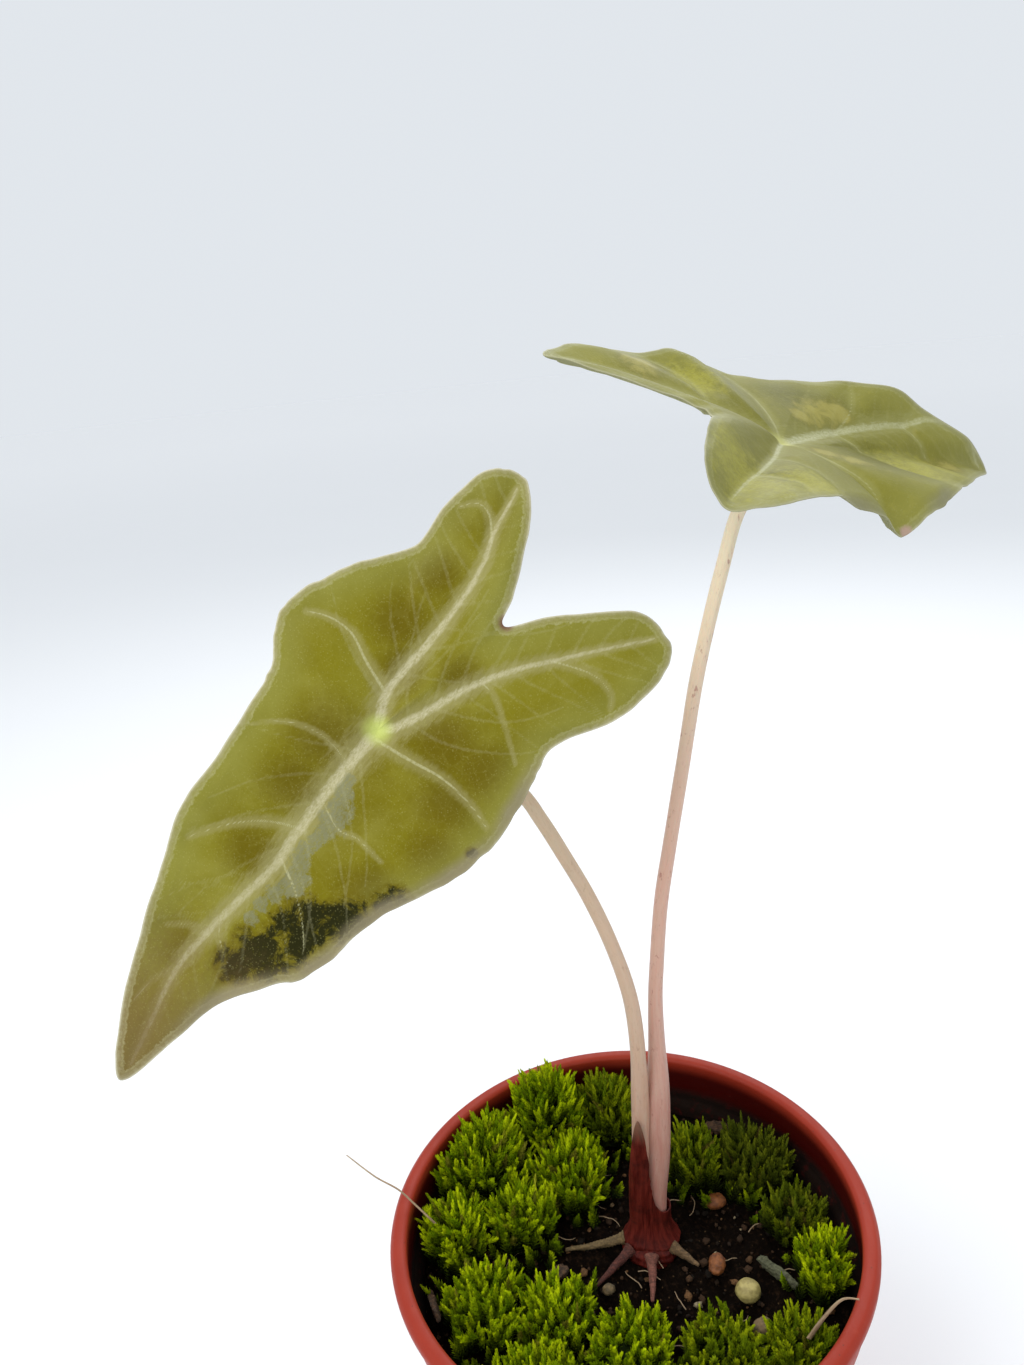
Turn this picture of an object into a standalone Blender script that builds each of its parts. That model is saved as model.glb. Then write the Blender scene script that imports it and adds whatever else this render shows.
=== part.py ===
"""Potted alocasia: two arrow-shaped leaves in a round nursery pot with moss on its soil.

Sizes are in millimetres and become metres as each mesh is made. +Z is up, the origin is
the centre of the pot's base on the surface it stands on, and the front faces -Y.
"""
import math

import bmesh
import bpy
from mathutils import Matrix, Vector, noise
from mathutils.bvhtree import BVHTree

MM = 0.001
GAP = 0.3                     # clearance between pieces that stand in or on each other

# Pot
RIM_RADIUS = 35.0
RIM_WIDTH = 2.4
RIM_DEPTH = 1.8
POT_HEIGHT = 62.0
POT_WALL = 0.9
COLLAR_HEIGHT = 8.0
COLLAR_STEP = 0.9
FOOT_RADIUS = 24.0
FOOT_WIDTH = 3.2
CENTRE_FOOT_RADIUS = 10.0
CHANNEL_LIFT = 1.6            # the drained ring of the base stands this much off the surface
CHANNEL_SLOPE = 0.8
DRAIN_HOLES = 8
DRAIN_DIAMETER = 5.0
POT_STEPS = 40

# Soil
SOIL_DROP = 10.0              # soil surface below the rim
SOIL_BUMP = 0.7
SOIL_BUMP_SPACING = 9.0
SOIL_RINGS = 9

# Crown of the plant
CROWN_X = 3.2
CROWN_Y = 2.5
CORM_RADIUS = 4.3
CORM_TOP = 1.9                # above the soil
CORM_DEPTH = 3.4              # below the soil
SHEATH_HEIGHT = 22.0
SHEATH_LOW = 5.0
SHEATH_WALL = 0.45
SHEATH_EASE = 0.1             # looseness beyond the usual clearance
SHEATH_TIP_ANGLE = 225.0      # degrees from +X, seen from above
SHEATH_TAPER = 4.0            # how quickly its edge falls away from the tip
SHEATH_AROUND = 24
SHEATH_LEVELS = 5
ROOT_RADIUS = 0.65

# Stalks: both rise side by side up to COLUMN_HEIGHT above the soil, then part
COLUMN_HEIGHT = 35.0
LEFT_STALK_RADIUS = 0.95
LEFT_STALK_HEIGHT = 90.4      # soil to the blade's junction
RIGHT_STALK_RADIUS = 1.0
RIGHT_STALK_HEIGHT = 116.6
STALK_POINTS = 26

# Blades
LEFT_BLADE_LENGTH = 52.5      # junction to tip
RIGHT_BLADE_LENGTH = 47.0
BLADE_THICKNESS = 0.6
BLADE_RINGS = 4
BLADE_SPAN_STEPS = 2

# Moss
MOSS_ROUND = 12
MOSS_RINGS = 6

SOIL_Z = POT_HEIGHT - SOIL_DROP
FLOOR = POT_WALL
COLLAR_INNER = RIM_RADIUS - RIM_WIDTH
COLLAR_BASE = POT_HEIGHT - COLLAR_HEIGHT
BODY_INNER = COLLAR_INNER - COLLAR_STEP
SOIL_RADIUS = BODY_INNER - GAP

# Column stations: height share, left stalk x and y, left radius share, then the right
# stalk's distance as a share of touching, its y and its radius share.
COLUMN = (
    (0.00, 0.0, 0.0, 1.00, 1.02, 0.0, 1.30),
    (0.20, 0.1, 0.0, 1.00, 1.06, 0.2, 1.35),
    (0.45, 0.6, 0.0, 1.13, 1.03, 0.5, 1.55),
    (0.75, 1.1, 0.1, 1.20, 1.05, 1.2, 1.50),
    (1.00, 1.4, 0.2, 1.15, 1.15, 2.2, 1.20),
)
# Upper stations: x and y from the crown, share of the rise above the column, radius share.
LEFT_RISE = (
    (-0.4, 0.3, 0.16, 1.10),
    (-2.3, 0.2, 0.315, 1.05),
    (-5.0, 0.1, 0.464, 1.03),
    (-8.1, -0.1, 0.597, 1.02),
    (-10.3, -0.3, 0.685, 1.01),
    (-12.5, -0.2, 0.757, 1.00),
    (-17.6, 0.8, 0.858, 1.00),
    (-23.0, 0.5, 0.918, 1.00),
    (-26.8, -1.7, 0.955, 1.02),
)
RIGHT_RISE = (
    (3.4, 3.1, 0.076, 1.10),
    (3.9, 3.9, 0.13, 1.06),
    (5.2, 5.1, 0.248, 1.04),
    (7.1, 6.5, 0.352, 1.02),
    (9.8, 8.0, 0.496, 1.00),
    (12.0, 8.8, 0.623, 1.00),
    (14.1, 9.4, 0.72, 0.98),
    (16.4, 9.9, 0.814, 0.97),
    (18.5, 10.2, 0.892, 0.95),
    (21.4, 10.0, 0.946, 0.95),
)
LEFT_JUNCTION = (-28.3, -7.8)     # x and y from the crown
RIGHT_JUNCTION = (24.1, 8.6)
LEFT_ALONG = (-0.670, -0.241, -0.702)
LEFT_FACING = (0.0, -0.946, 0.325)
RIGHT_ALONG = (0.81, 0.545, -0.22)
RIGHT_FACING = (0.427, -0.273, 0.862)

# Margins as hundredths of the blade's length: along to the tip, across to its left, lift.
LEFT_MARGIN = (
    (100, 0, -8), (85, 4, -7), (73, 7, -6), (60, 15, -2), (55, 19, -1), (47, 22, 0),
    (39, 23, 2), (29, 27, 0), (17, 33, 2), (9, 35, 3), (1, 36, 1), (-8, 35, 2),
    (-14, 34, 2), (-21, 34, 0), (-32, 41, -1), (-42, 44, -3), (-51, 44, -5), (-55, 40, -5),
    (-56, 32, -4), (-50, 24, -3), (-43, 16, -2), (-35, 9, 0), (-41, 7, 0), (-51, 3, 0),
    (-59, -1, -1), (-65, -7, -4), (-64, -12, -5), (-60, -16, -5), (-49, -18, -4),
    (-38, -18, -3), (-28, -25, 0), (-21, -29, 1), (-14, -32, 1), (-8, -33, 0),
    (-2, -30, 0), (3, -27, 1), (10, -26, 2), (26, -25, 2), (40, -25, 1), (53, -21, -1),
    (67, -17, -3), (82, -12, -6), (96, -5, -7),
)
RIGHT_MARGIN = (
    (100, 0, 0), (89, 6, 7), (75, 12, 10), (62, 19, 13), (47, 25, 11), (35, 29, 7),
    (24, 34, 4), (12, 37, 2), (0, 39, 3), (-13, 39, 5), (-25, 40, 2), (-42, 41, 1),
    (-54, 37, 0), (-60, 31, 0), (-56, 22, 3), (-46, 12, 4), (-37, 5, 5), (-34, 0, 5),
    (-35, -5, 6), (-43, -12, 8), (-52, -21, 8), (-59, -31, 5), (-58, -39, 1),
    (-52, -43, 3), (-41, -43, 6), (-27, -40, 6), (-13, -38, 4), (0, -38, 1),
    (11, -38, -4), (21, -36, 2), (32, -32, 5), (45, -26, 5), (60, -19, 3), (77, -11, 2),
)
BLADE_PUFF = 0.022            # how far the panels between veins swell, share of length

# Roots on the soil: heading in degrees, run beyond the corm, turn, radius share
ROOTS = {
    "root_left": (180.0, 8.2, 6.0, 1.1),
    "root_right": (-38.0, 3.6, -14.0, 1.0),
    "root_front_left": (214.0, 6.4, 10.0, 0.9),
    "root_front": (264.0, 5.6, -6.0, 1.0),
    "root_back": (64.0, 5.0, 20.0, 0.9),
}
ROOT_POINTS = 9

# Cushions: x, y and radius as shares of the soil's radius, then height in mm
MOSS = {
    "moss_back_left": (-0.68, 0.52, 0.28, 11.5),
    "moss_back": (-0.36, 0.76, 0.25, 13.5),
    "moss_behind_stalks": (-0.02, 0.82, 0.19, 9.0),
    "moss_mid_left": (-0.26, 0.42, 0.22, 8.0),
    "moss_left": (-0.52, 0.20, 0.19, 7.0),
    "moss_far_left": (-0.82, 0.12, 0.18, 8.0),
    "moss_front_left": (-0.68, -0.26, 0.21, 5.5),
    "moss_front_left_inner": (-0.40, -0.34, 0.21, 5.0),
    "moss_front_left_low": (-0.48, -0.68, 0.22, 5.0),
    "moss_front": (-0.06, -0.53, 0.20, 4.5),
    "moss_front_low": (-0.06, -0.84, 0.19, 5.0),
    "moss_front_right": (0.30, -0.60, 0.19, 4.5),
    "moss_right_of_stalks": (0.40, 0.44, 0.17, 7.5),
    "moss_back_right": (0.68, 0.42, 0.21, 5.5),
    "moss_right": (0.80, 0.06, 0.16, 4.5),
    "moss_right_front": (0.86, -0.24, 0.15, 6.5),
    "moss_right_low": (0.64, -0.62, 0.17, 5.5),
}

# Grains: x and y as shares of the soil's radius, then half sizes in mm and a turn
GRAINS = {
    "pale_grain": (0.49, -0.27, (1.75, 1.6, 1.5), 20.0),
    "rust_grain_back": (0.46, 0.25, (1.6, 1.2, 1.0), 15.0),
    "rust_grain_front": (0.385, -0.105, (1.2, 1.7, 1.1), -20.0),
    "tan_grain": (0.51, -0.44, (1.5, 1.2, 1.0), 40.0),
    "small_grain": (-0.13, -0.17, (0.9, 0.8, 0.7), 0.0),
}

# Chips: x and y as shares of the soil's radius, length, width and thickness in mm, turn
CHIPS = {
    "twig": (0.65, -0.18, 6.6, 1.3, 1.2, -52.0),
    "bark_chip_left": (-0.36, -0.06, 3.4, 2.0, 0.8, 35.0),
    "bark_chip_back": (0.58, 0.74, 4.4, 2.2, 0.9, -30.0),
}
BARK_STRIP_SIZE = (8.4, 2.2, 0.8)
BARK_STRIP_ANGLE = 193.0      # where it leans on the wall, degrees from +X
BARK_STRIP_SLOPE = 27.0
STRAND_RADIUS = 0.25


def clear_scene():
    """Empty the file of objects."""
    for item in list(bpy.data.objects):
        bpy.data.objects.remove(item, do_unlink=True)


def new_collection(name):
    """Add a collection to the scene."""
    group = bpy.data.collections.new(name)
    bpy.context.scene.collection.children.link(group)
    return group


def material(name, colour, roughness):
    """A plain Principled material."""
    made = bpy.data.materials.new(name)
    made.use_nodes = True
    shader = made.node_tree.nodes["Principled BSDF"]
    shader.inputs["Base Color"].default_value = (*colour, 1.0)
    shader.inputs["Roughness"].default_value = roughness
    shader.inputs["Metallic"].default_value = 0.0
    made.diffuse_color = (*colour, 1.0)
    return made


def add_object(name, data, look, group, smooth=True):
    """Put a mesh or curve in the scene under its node name."""
    item = bpy.data.objects.new(name, data)
    data.materials.append(look)
    group.objects.link(item)
    if smooth and isinstance(data, bpy.types.Mesh):
        data.shade_smooth()
        data.set_sharp_from_angle(angle=math.radians(40))
    return item


def mesh_from_bmesh(name, form):
    """Turn a bmesh in millimetres into a mesh in metres, faces outward."""
    bmesh.ops.recalc_face_normals(form, faces=form.faces)
    bmesh.ops.scale(form, vec=(MM, MM, MM), verts=form.verts)
    mesh = bpy.data.meshes.new(name)
    form.to_mesh(mesh)
    form.free()
    return mesh


def made_plain(item):
    """Replace an object's mesh by its evaluated mesh and drop its modifiers."""
    bpy.context.view_layer.update()
    shape = item.evaluated_get(bpy.context.evaluated_depsgraph_get())
    mesh = bpy.data.meshes.new_from_object(shape)
    item.modifiers.clear()
    item.data = mesh
    return item


def turned(name, profile, look, group, steps):
    """Turn a profile of (radius, height) points about the Z axis."""
    mesh = bpy.data.meshes.new(name)
    points = [(radius * MM, 0.0, height * MM) for radius, height in profile]
    mesh.from_pydata(points, [(i, i + 1) for i in range(len(points) - 1)], [])
    item = add_object(name, mesh, look, group, smooth=False)
    screw = item.modifiers.new("Turn", "SCREW")
    screw.axis = "Z"
    screw.angle = math.tau
    screw.steps = steps
    screw.render_steps = steps
    screw.use_merge_vertices = True
    screw.merge_threshold = 0.00005
    screw.use_smooth_shade = True
    return item


def boolean_cut(item, cutter):
    """Cut one object by another."""
    cutter.hide_render = True
    cutter.display_type = "WIRE"
    cut = item.modifiers.new("Cut " + cutter.name, "BOOLEAN")
    cut.operation = "DIFFERENCE"
    cut.solver = "EXACT"
    cut.object = cutter


def spline_through(stations, count):
    """Points evenly spread along a smooth curve through stations of any width."""
    dense = []
    last = len(stations) - 1
    for i in range(last):
        before = stations[max(i - 1, 0)]
        after = stations[min(i + 2, last)]
        for step in range(12):
            dense.append(catmull(before, stations[i], stations[i + 1], after, step / 12))
    dense.append(tuple(stations[last]))
    runs = [0.0]
    for a, b in zip(dense, dense[1:]):
        runs.append(runs[-1] + math.dist(a[:3], b[:3]))
    spread = []
    at = 0
    for k in range(count):
        goal = runs[-1] * k / (count - 1)
        while at < len(runs) - 2 and runs[at + 1] < goal:
            at += 1
        share = (goal - runs[at]) / (runs[at + 1] - runs[at])
        share = min(max(share, 0.0), 1.0)
        spread.append(tuple(a + (b - a) * share for a, b in zip(dense[at], dense[at + 1])))
    return spread


def catmull(p0, p1, p2, p3, t):
    """A point on a Catmull-Rom span, for tuples of any length."""
    return tuple(
        0.5 * (2 * b + (c - a) * t + (2 * a - 5 * b + 4 * c - d) * t ** 2
               + (3 * b - a - 3 * c + d) * t ** 3)
        for a, b, c, d in zip(p0, p1, p2, p3)
    )


def tube(name, points, look, group, sides=2):
    """A round tube along points of (x, y, z, radius)."""
    widest = max(point[3] for point in points)
    curve = bpy.data.curves.new(name, "CURVE")
    curve.dimensions = "3D"
    curve.bevel_depth = widest * MM
    curve.bevel_resolution = sides
    curve.use_fill_caps = True
    spline = curve.splines.new("POLY")
    spline.points.add(len(points) - 1)
    for slot, point in zip(spline.points, points):
        slot.co = (point[0] * MM, point[1] * MM, point[2] * MM, 1.0)
        slot.radius = point[3] / widest
    return add_object(name, curve, look, group)


# ---------------------------------------------------------------- pot and soil

def base_profile(lift, inset):
    """The stepped inside of the base from its centre out, raised and drawn in."""
    foot_inner = FOOT_RADIUS - FOOT_WIDTH
    return [
        (0.0, FLOOR + lift),
        (CENTRE_FOOT_RADIUS - inset, FLOOR + lift),
        (CENTRE_FOOT_RADIUS + CHANNEL_SLOPE - inset, FLOOR + CHANNEL_LIFT + lift),
        (foot_inner - CHANNEL_SLOPE + inset, FLOOR + CHANNEL_LIFT + lift),
        (foot_inner + inset, FLOOR + lift),
    ]


def build_pot(look, group, cutters):
    """Thin-walled nursery pot with a rolled rim, a collar and a drained base."""
    foot_inner = FOOT_RADIUS - FOOT_WIDTH
    body_top = COLLAR_BASE - 1.0
    profile = base_profile(0.0, 0.0) + [
        (FOOT_RADIUS - POT_WALL, FLOOR),
        (BODY_INNER, body_top),
        (COLLAR_INNER, COLLAR_BASE),
        (COLLAR_INNER, POT_HEIGHT - 0.6),
        (COLLAR_INNER + 0.5, POT_HEIGHT),
        (RIM_RADIUS - 0.7, POT_HEIGHT),
        (RIM_RADIUS, POT_HEIGHT - 0.7),
        (RIM_RADIUS, POT_HEIGHT - RIM_DEPTH),
        (COLLAR_INNER + POT_WALL, POT_HEIGHT - RIM_DEPTH),
        (COLLAR_INNER + POT_WALL, COLLAR_BASE),
        (BODY_INNER + POT_WALL, body_top),
        (FOOT_RADIUS, 1.2),
        (FOOT_RADIUS - 0.5, 0.0),
        (foot_inner, 0.0),
        (foot_inner - CHANNEL_SLOPE, CHANNEL_LIFT),
        (CENTRE_FOOT_RADIUS + CHANNEL_SLOPE, CHANNEL_LIFT),
        (CENTRE_FOOT_RADIUS, 0.0),
        (0.0, 0.0),
    ]
    pot = turned("pot", profile, look, group, POT_STEPS)
    ring = (CENTRE_FOOT_RADIUS + FOOT_RADIUS - FOOT_WIDTH) / 2
    form = bmesh.new()
    for i in range(DRAIN_HOLES):
        angle = math.tau * (i + 0.5) / DRAIN_HOLES
        place = Matrix.Translation((ring * math.cos(angle), ring * math.sin(angle), 2.0))
        bmesh.ops.create_cone(
            form, cap_ends=True, segments=14, radius1=DRAIN_DIAMETER / 2,
            radius2=DRAIN_DIAMETER / 2, depth=2 * CHANNEL_LIFT + 2 * POT_WALL, matrix=place,
        )
    drills = add_object("drain_cutters", mesh_from_bmesh("drain_cutters", form), look, cutters)
    boolean_cut(pot, drills)
    return pot


def inner_radius(height):
    """The inside radius of the pot's tapered body at a height."""
    share = (height - FLOOR) / (COLLAR_BASE - 1.0 - FLOOR)
    return FOOT_RADIUS - POT_WALL + (BODY_INNER - FOOT_RADIUS + POT_WALL) * share


def corm_profile(clearance):
    """Profile of the squat corm about its own axis, grown by a clearance."""
    wide = CORM_RADIUS + clearance
    top = CORM_TOP + clearance
    low = -CORM_DEPTH - clearance
    return [
        (0.0, top), (wide - 0.8, top), (wide - 0.2, top - 0.7), (wide, 0.2),
        (wide - 0.4, low * 0.5), (wide - 1.8, low * 0.9), (0.0, low),
    ]


def build_soil(look, group, cutters):
    """Potting mix that fills the pot, with an uneven top and a socket for the corm."""
    edge = inner_radius(SOIL_Z) - GAP
    profile = [(edge * i / SOIL_RINGS, SOIL_Z) for i in range(SOIL_RINGS + 1)]
    profile += [
        (inner_radius(FLOOR) - GAP - 0.1, FLOOR + GAP),
        *reversed(base_profile(GAP, GAP)),
    ]
    soil = made_plain(turned("potting_mix", profile, look, group, POT_STEPS))
    for vertex in soil.data.vertices:
        if vertex.co.z > (SOIL_Z - 0.1) * MM:
            x = vertex.co.x / MM
            y = vertex.co.y / MM
            vertex.co.z += soil_bump(x, y) * MM
    socket = turned("corm_socket", corm_profile(GAP), look, cutters, 20)
    socket.location = (CROWN_X * MM, CROWN_Y * MM, SOIL_Z * MM)
    boolean_cut(soil, socket)
    return made_plain(soil)


def soil_bump(x, y):
    """Height of the soil's unevenness, fading out round the crown."""
    away = math.hypot(x - CROWN_X, y - CROWN_Y)
    fade = min(max((away - CORM_RADIUS) / 6.0, 0.0), 1.0)
    spot = Vector((x, y, 0.0)) / SOIL_BUMP_SPACING
    return SOIL_BUMP * fade * noise.noise(spot)


# ---------------------------------------------------------------- settling on a support

def support_tree(items):
    """One search tree over the meshes of the supports, in millimetres."""
    verts = []
    faces = []
    bpy.context.view_layer.update()
    graph = bpy.context.evaluated_depsgraph_get()
    for item in items:
        mesh = item.evaluated_get(graph).to_mesh()
        first = len(verts)
        verts += [(item.matrix_world @ v.co) / MM for v in mesh.vertices]
        faces += [[first + i for i in face.vertices] for face in mesh.polygons]
    return BVHTree.FromPolygons(verts, faces), verts


def settle(item, supports):
    """Lower or raise a piece until it stands GAP above what carries it."""
    bpy.context.view_layer.update()
    below, low_points = support_tree(supports)
    above, high_points = support_tree([item])
    down = Vector((0, 0, -1))
    reach = 200.0
    gaps = []
    for point in high_points:
        hit = below.ray_cast(point + Vector((0, 0, reach)), down)
        if hit[0] is not None:
            gaps.append(point.z - hit[0].z)
    for point in low_points:
        hit = above.ray_cast(point - Vector((0, 0, reach)), -down)
        if hit[0] is not None:
            gaps.append(hit[0].z - point.z)
    item.location.z += (GAP - min(gaps)) * MM


# ---------------------------------------------------------------- corm, sheath, roots

def build_corm(look, group):
    """Squat corm, half buried, with a flat top that carries the stalks."""
    corm = turned("corm", corm_profile(0.0), look, group, 20)
    corm.location = (CROWN_X * MM, CROWN_Y * MM, SOIL_Z * MM)
    return corm


def column_stations():
    """Both stalks' stations in the joined part, as (x, y, z, radius) from the axis."""
    left = []
    right = []
    base = SOIL_Z + CORM_TOP + GAP
    touch = LEFT_STALK_RADIUS * COLUMN[0][3] + RIGHT_STALK_RADIUS * COLUMN[0][6] + GAP
    for share, x, y, wide, apart, right_y, right_wide in COLUMN:
        z = base + share * (SOIL_Z + COLUMN_HEIGHT - base)
        left_radius = LEFT_STALK_RADIUS * wide
        right_radius = RIGHT_STALK_RADIUS * right_wide
        left_x = CROWN_X + x - touch / 2
        step = (left_radius + right_radius + GAP) * apart
        left.append((left_x, CROWN_Y + y, z, left_radius))
        right.append((left_x + step, CROWN_Y + right_y, z, right_radius))
    return left, right


def rise_stations(rise, height, radius):
    """Stations above the joined part."""
    span = height - COLUMN_HEIGHT
    low = SOIL_Z + COLUMN_HEIGHT
    return [(CROWN_X + x, CROWN_Y + y, low + share * span, radius * wide)
            for x, y, share, wide in rise]


def junction_point(place, height):
    """Where a blade's veins meet."""
    return Vector((CROWN_X + place[0], CROWN_Y + place[1], SOIL_Z + height))


def build_stalk(name, stations, junction, facing, radius, look, group):
    """A stalk from the corm to just under its blade, arriving square to the blade."""
    normal = Vector(facing).normalized()
    top = junction - normal * (BLADE_THICKNESS / 2 + GAP)
    before = top - normal * 2.6
    route = stations + [(*before, radius), (*top, radius * 1.05)]
    return tube(name, spline_through(route, STALK_POINTS), look, group)


def column_at(stations, z):
    """A stalk's centre and radius at a height in the joined part."""
    for a, b in zip(stations, stations[1:]):
        if z <= b[2]:
            share = max((z - a[2]) / (b[2] - a[2]), 0.0)
            return tuple(p + (q - p) * share for p, q in zip(a, b))
    return stations[-1]


def wrapped(left, right, bearing):
    """Where a skin stretched round both stalks lies, at a bearing from their middle."""
    middle = Vector(((left[0] + right[0]) / 2, (left[1] + right[1]) / 2))
    reach = []
    for step in range(-8, 9):
        lean = math.radians(step * 10)
        way = Vector((math.cos(bearing + lean), math.sin(bearing + lean)))
        touch = max(way.dot(Vector(stalk[:2]) - middle) + stalk[3] for stalk in (left, right))
        reach.append((touch + GAP + SHEATH_EASE) / math.cos(lean))
    away = min(reach)
    return middle.x + away * math.cos(bearing), middle.y + away * math.sin(bearing)


def build_sheath(look, group):
    """Papery old leaf base that wraps both stalks and ends in a point at the front."""
    left, right = column_stations()
    base = SOIL_Z + CORM_TOP + GAP
    form = bmesh.new()
    rings = []
    for level in range(SHEATH_LEVELS + 1):
        ring = []
        for i in range(SHEATH_AROUND):
            bearing = math.tau * i / SHEATH_AROUND
            turn = math.cos(bearing - math.radians(SHEATH_TIP_ANGLE))
            share = ((1 + turn) / 2) ** SHEATH_TAPER
            high = SHEATH_LOW + (SHEATH_HEIGHT - SHEATH_LOW) * share
            z = base + high * level / SHEATH_LEVELS
            x, y = wrapped(column_at(left, z), column_at(right, z), bearing)
            ring.append(form.verts.new((x, y, z)))
        rings.append(ring)
    for low, high in zip(rings, rings[1:]):
        for i in range(SHEATH_AROUND):
            j = (i + 1) % SHEATH_AROUND
            form.faces.new((low[i], low[j], high[j], high[i]))
    bmesh.ops.scale(form, vec=(MM, MM, MM), verts=form.verts)
    mesh = bpy.data.meshes.new("sheath")
    form.to_mesh(mesh)
    form.free()
    sheath = add_object("sheath", mesh, look, group)
    shell = sheath.modifiers.new("Wall", "SOLIDIFY")
    shell.thickness = SHEATH_WALL * MM
    shell.offset = 1.0
    shell.use_even_offset = False
    return sheath


def build_roots(look, group, soil):
    """Fleshy roots that leave the corm and run over the soil."""
    for name, (heading, run, turn, share) in ROOTS.items():
        radius = ROOT_RADIUS * share
        points = []
        start = CORM_RADIUS + GAP + 0.15
        x = CROWN_X + start * math.cos(math.radians(heading))
        y = CROWN_Y + start * math.sin(math.radians(heading))
        for i in range(ROOT_POINTS):
            t = i / (ROOT_POINTS - 1)
            way = math.radians(heading + turn * t)
            lift = 0.7 * (1 - t) ** 2
            z = SOIL_Z + soil_bump(x, y) + radius + lift
            points.append((x, y, z, radius * (1 - 0.55 * t)))
            x += run / (ROOT_POINTS - 1) * math.cos(way)
            y += run / (ROOT_POINTS - 1) * math.sin(way)
        settle(tube(name, points, look, group, sides=1), [soil])


# ---------------------------------------------------------------- blades

def margin_points(margin, length):
    """The closed margin as (x, y, lift) in millimetres, with points between stations."""
    count = len(margin)
    points = []
    for i in range(count):
        span = [margin[(i + k) % count] for k in (-1, 0, 1, 2)]
        for step in range(BLADE_SPAN_STEPS):
            point = catmull(*span, step / BLADE_SPAN_STEPS)
            points.append(tuple(value * length / 100 for value in point))
    return points


def build_blade(name, margin, length, junction, along, facing, look, group):
    """Arrow-shaped blade: rings from the junction of the veins out to the margin."""
    edge = margin_points(margin, length)
    form = bmesh.new()
    centre = form.verts.new((0.0, 0.0, 0.0))
    rings = []
    for ring in range(1, BLADE_RINGS + 1):
        rho = ring / BLADE_RINGS
        row = []
        for x, y, lift in edge:
            bearing = min(abs(math.degrees(math.atan2(y, x))), 75.0)
            panel = math.sin(math.pi * bearing / 150) ** 2
            puff = BLADE_PUFF * length * panel * 4 * rho * (1 - rho)
            row.append(form.verts.new((x * rho, y * rho, lift * rho ** 2 + puff)))
        rings.append(row)
    count = len(edge)
    for i in range(count):
        j = (i + 1) % count
        form.faces.new((centre, rings[0][i], rings[0][j]))
        for low, high in zip(rings, rings[1:]):
            form.faces.new((low[i], high[i], high[j], low[j]))
    bmesh.ops.scale(form, vec=(MM, MM, MM), verts=form.verts)
    mesh = bpy.data.meshes.new(name)
    form.to_mesh(mesh)
    form.free()
    blade = add_object(name, mesh, look, group)
    blade.matrix_world = facing_matrix(junction, along, facing)
    skin = blade.modifiers.new("Thickness", "SOLIDIFY")
    skin.thickness = BLADE_THICKNESS * MM
    skin.offset = 0.0
    skin.use_even_offset = False
    return blade


def facing_matrix(junction, along, facing):
    """Local X points to the tip and local Z out of the upper side."""
    up = Vector(facing).normalized()
    tip = Vector(along)
    tip = (tip - up * tip.dot(up)).normalized()
    side = up.cross(tip)
    turn = Matrix((tip, side, up)).transposed().to_4x4()
    return Matrix.Translation(junction * MM) @ turn


# ---------------------------------------------------------------- what lies on the soil

def neighbours():
    """Discs (x, y, radius) on the soil that a cushion grows up against."""
    discs = {name: (x * SOIL_RADIUS, y * SOIL_RADIUS, size * SOIL_RADIUS)
             for name, (x, y, size, _) in MOSS.items()}
    discs["crown"] = (CROWN_X, CROWN_Y, CORM_RADIUS + 1.2)
    for name, (x, y, half, _) in GRAINS.items():
        discs[name] = (x * SOIL_RADIUS, y * SOIL_RADIUS, max(half[:2]) + 0.4)
    for name, (x, y, long, _, _, turn) in CHIPS.items():
        for share in (-0.35, 0.0, 0.35):
            way = math.radians(turn)
            discs[name, share] = (x * SOIL_RADIUS + share * long * math.cos(way),
                                  y * SOIL_RADIUS + share * long * math.sin(way),
                                  long * 0.24 + 0.4)
    for name, (heading, run, _, _) in ROOTS.items():
        for share in (0.35, 0.95):
            way = math.radians(heading)
            away = CORM_RADIUS + GAP + run * share
            discs[name, share] = (CROWN_X + away * math.cos(way),
                                  CROWN_Y + away * math.sin(way), ROOT_RADIUS + 1.0)
    lean = math.radians(BARK_STRIP_ANGLE)
    for share in (-0.4, 0.0, 0.4):
        away = SOIL_RADIUS - 1.6
        slide = BARK_STRIP_SIZE[0] * share
        discs["bark_strip", share] = (away * math.cos(lean) - slide * math.sin(lean),
                                      away * math.sin(lean) + slide * math.cos(lean), 2.0)
    return discs


def free_reach(name, angle, discs):
    """How far a cushion spreads one way before a neighbour or the wall stops it."""
    x, y, size = discs[name]
    way = (math.cos(angle), math.sin(angle))
    reach = size
    for other, (ox, oy, radius) in discs.items():
        if other == name:
            continue
        dx = ox - x
        dy = oy - y
        ahead = way[0] * dx + way[1] * dy
        if ahead > 0.01:
            meet = (dx * dx + dy * dy + size ** 2 - radius ** 2) / (2 * ahead)
            reach = min(reach, meet - GAP * math.hypot(dx, dy) / ahead * 0.6)
    wall = SOIL_RADIUS - GAP
    along = x * way[0] + y * way[1]
    reach = min(reach, math.sqrt(along ** 2 + wall ** 2 - x * x - y * y) - along)
    return max(reach, 0.8)


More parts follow.
